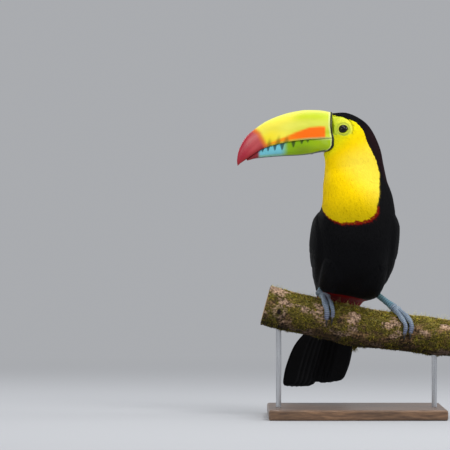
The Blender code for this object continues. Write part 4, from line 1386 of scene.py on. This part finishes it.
def make_studio():
    """A pale floor that runs out into a backdrop of the same grey, and soft lights."""
    material, tree, shader = node_material("studio_floor", roughness=0.9, specular=0.1)
    shader.inputs["Base Color"].default_value = FLOOR
    place = node(tree, "ShaderNodeTexCoord").outputs["Object"]
    distance = node(tree, "ShaderNodeVectorMath", {0: place}, operation="LENGTH").outputs["Value"]
    reach = {"Value": distance, "From Min": 0.35, "From Max": 2.2}
    far = node(tree, "ShaderNodeMapRange", reach, interpolation_type="SMOOTHSTEP").outputs["Result"]
    glow = node(tree, "ShaderNodeEmission", {"Color": BACKDROP}).outputs["Emission"]
    mix = node(tree, "ShaderNodeMixShader", {"Fac": far, 1: shader.outputs["BSDF"], 2: glow})
    tree.links.new(mix.outputs["Shader"], tree.nodes["Material Output"].inputs["Surface"])
    bpy.ops.mesh.primitive_circle_add(vertices=96, radius=60, fill_type="NGON")
    floor = bpy.context.object
    floor.name = "studio_floor"
    floor.data.materials.append(material)
    world = bpy.data.worlds.new("studio")
    bpy.context.scene.world = world
    world.use_nodes = True
    world.node_tree.nodes["Background"].inputs["Color"].default_value = BACKDROP
    world.node_tree.nodes["Background"].inputs["Strength"].default_value = 1.0
    for name, place, size, energy in LIGHTS:
        light = bpy.data.lights.new(name, "AREA")
        light.size, light.energy = size, energy
        towards = Vector((0, 0, 0.27)) - Vector(place)
        place_object(name, light, place, towards.to_track_quat("-Z", "Y").to_euler())
    bpy.context.scene.view_settings.view_transform = "Standard"


def make_camera():
    """Level with the bird, far off, with the bird right of the middle and the bill's side clear."""
    across, distance, sensor = 0.5985, 4.6, 36.0
    camera = bpy.data.cameras.new("camera")
    camera.sensor_width = sensor
    camera.lens = sensor * distance / across
    camera.clip_end = 100
    place = Vector((-0.1756, -0.02 - distance, 0.2574))
    bpy.context.scene.camera = place_object("camera", camera, place, (math.pi / 2, 0, 0))


def main():
    rng = np.random.default_rng(SEED)
    plumage = tinted("plumage", 0.95, 1.04, 260, roughness=0.55, specular=0.04)
    skin = tinted("skin", 0.85, 1.1, 300, (900, 0.0003), roughness=0.6, specular=0.3)
    orbit = tinted("eye_skin", 0.88, 1.1, 500, (1400, 0.00025), roughness=0.5, specular=0.4)
    horn = tinted(
        "bill_horn", 0.93, 1.05, 90, (160, 0.0002), (0.25, 1, 1), roughness=0.36, specular=0.28, coat=0.04
    )
    eye = tinted("eye", 0.7, 1.3, 1500, reach=(0.35, 0.65), roughness=0.04, specular=0.28)
    leg = tinted("leg_skin", 0.8, 1.15, 500, (1200, 0.0002), roughness=0.5, specular=0.45)
    claw = tinted("claw_horn", 0.85, 1.15, 400, (500, 0.0001), roughness=0.3, specular=0.5)
    moss = tinted("moss", 0.7, 1.25, 700, roughness=0.85, specular=0.2)
    sawn = tinted("sawn_wood", 0.8, 1.15, 400, (600, 0.0003), roughness=0.75, specular=0.25)
    vane = vane_material()
    surface = Surface(last=14.0, rows=900, columns=320)
    body = make_skin(surface, skin).data
    faces = [tuple(p.vertices) for p in body.polygons]
    body = BVHTree.FromPolygons([v.co / MM for v in body.vertices], faces)
    make_bill(horn)
    for side, _ in SIDES:
        make_eye(side, eye)
        make_orbit(side, body, orbit)
    make_plumage(surface, plumage, rng)
    for side, sign in SIDES:
        make_wing_coverts(side, sign, surface, plumage, rng)
    wing_vanes(surface, vane, rng)
    tail_vanes(vane, rng)
    make_feet(leg, claw)
    make_bark(bark_material())
    make_cut("perch_cut_left", PERCH_LEFT, 1.0, sawn)
    make_cut("perch_cut_right", PERCH_RIGHT, -1.0, sawn)
    make_moss(moss, rng)
    dress_stand()
    make_studio()
    make_camera()


main()
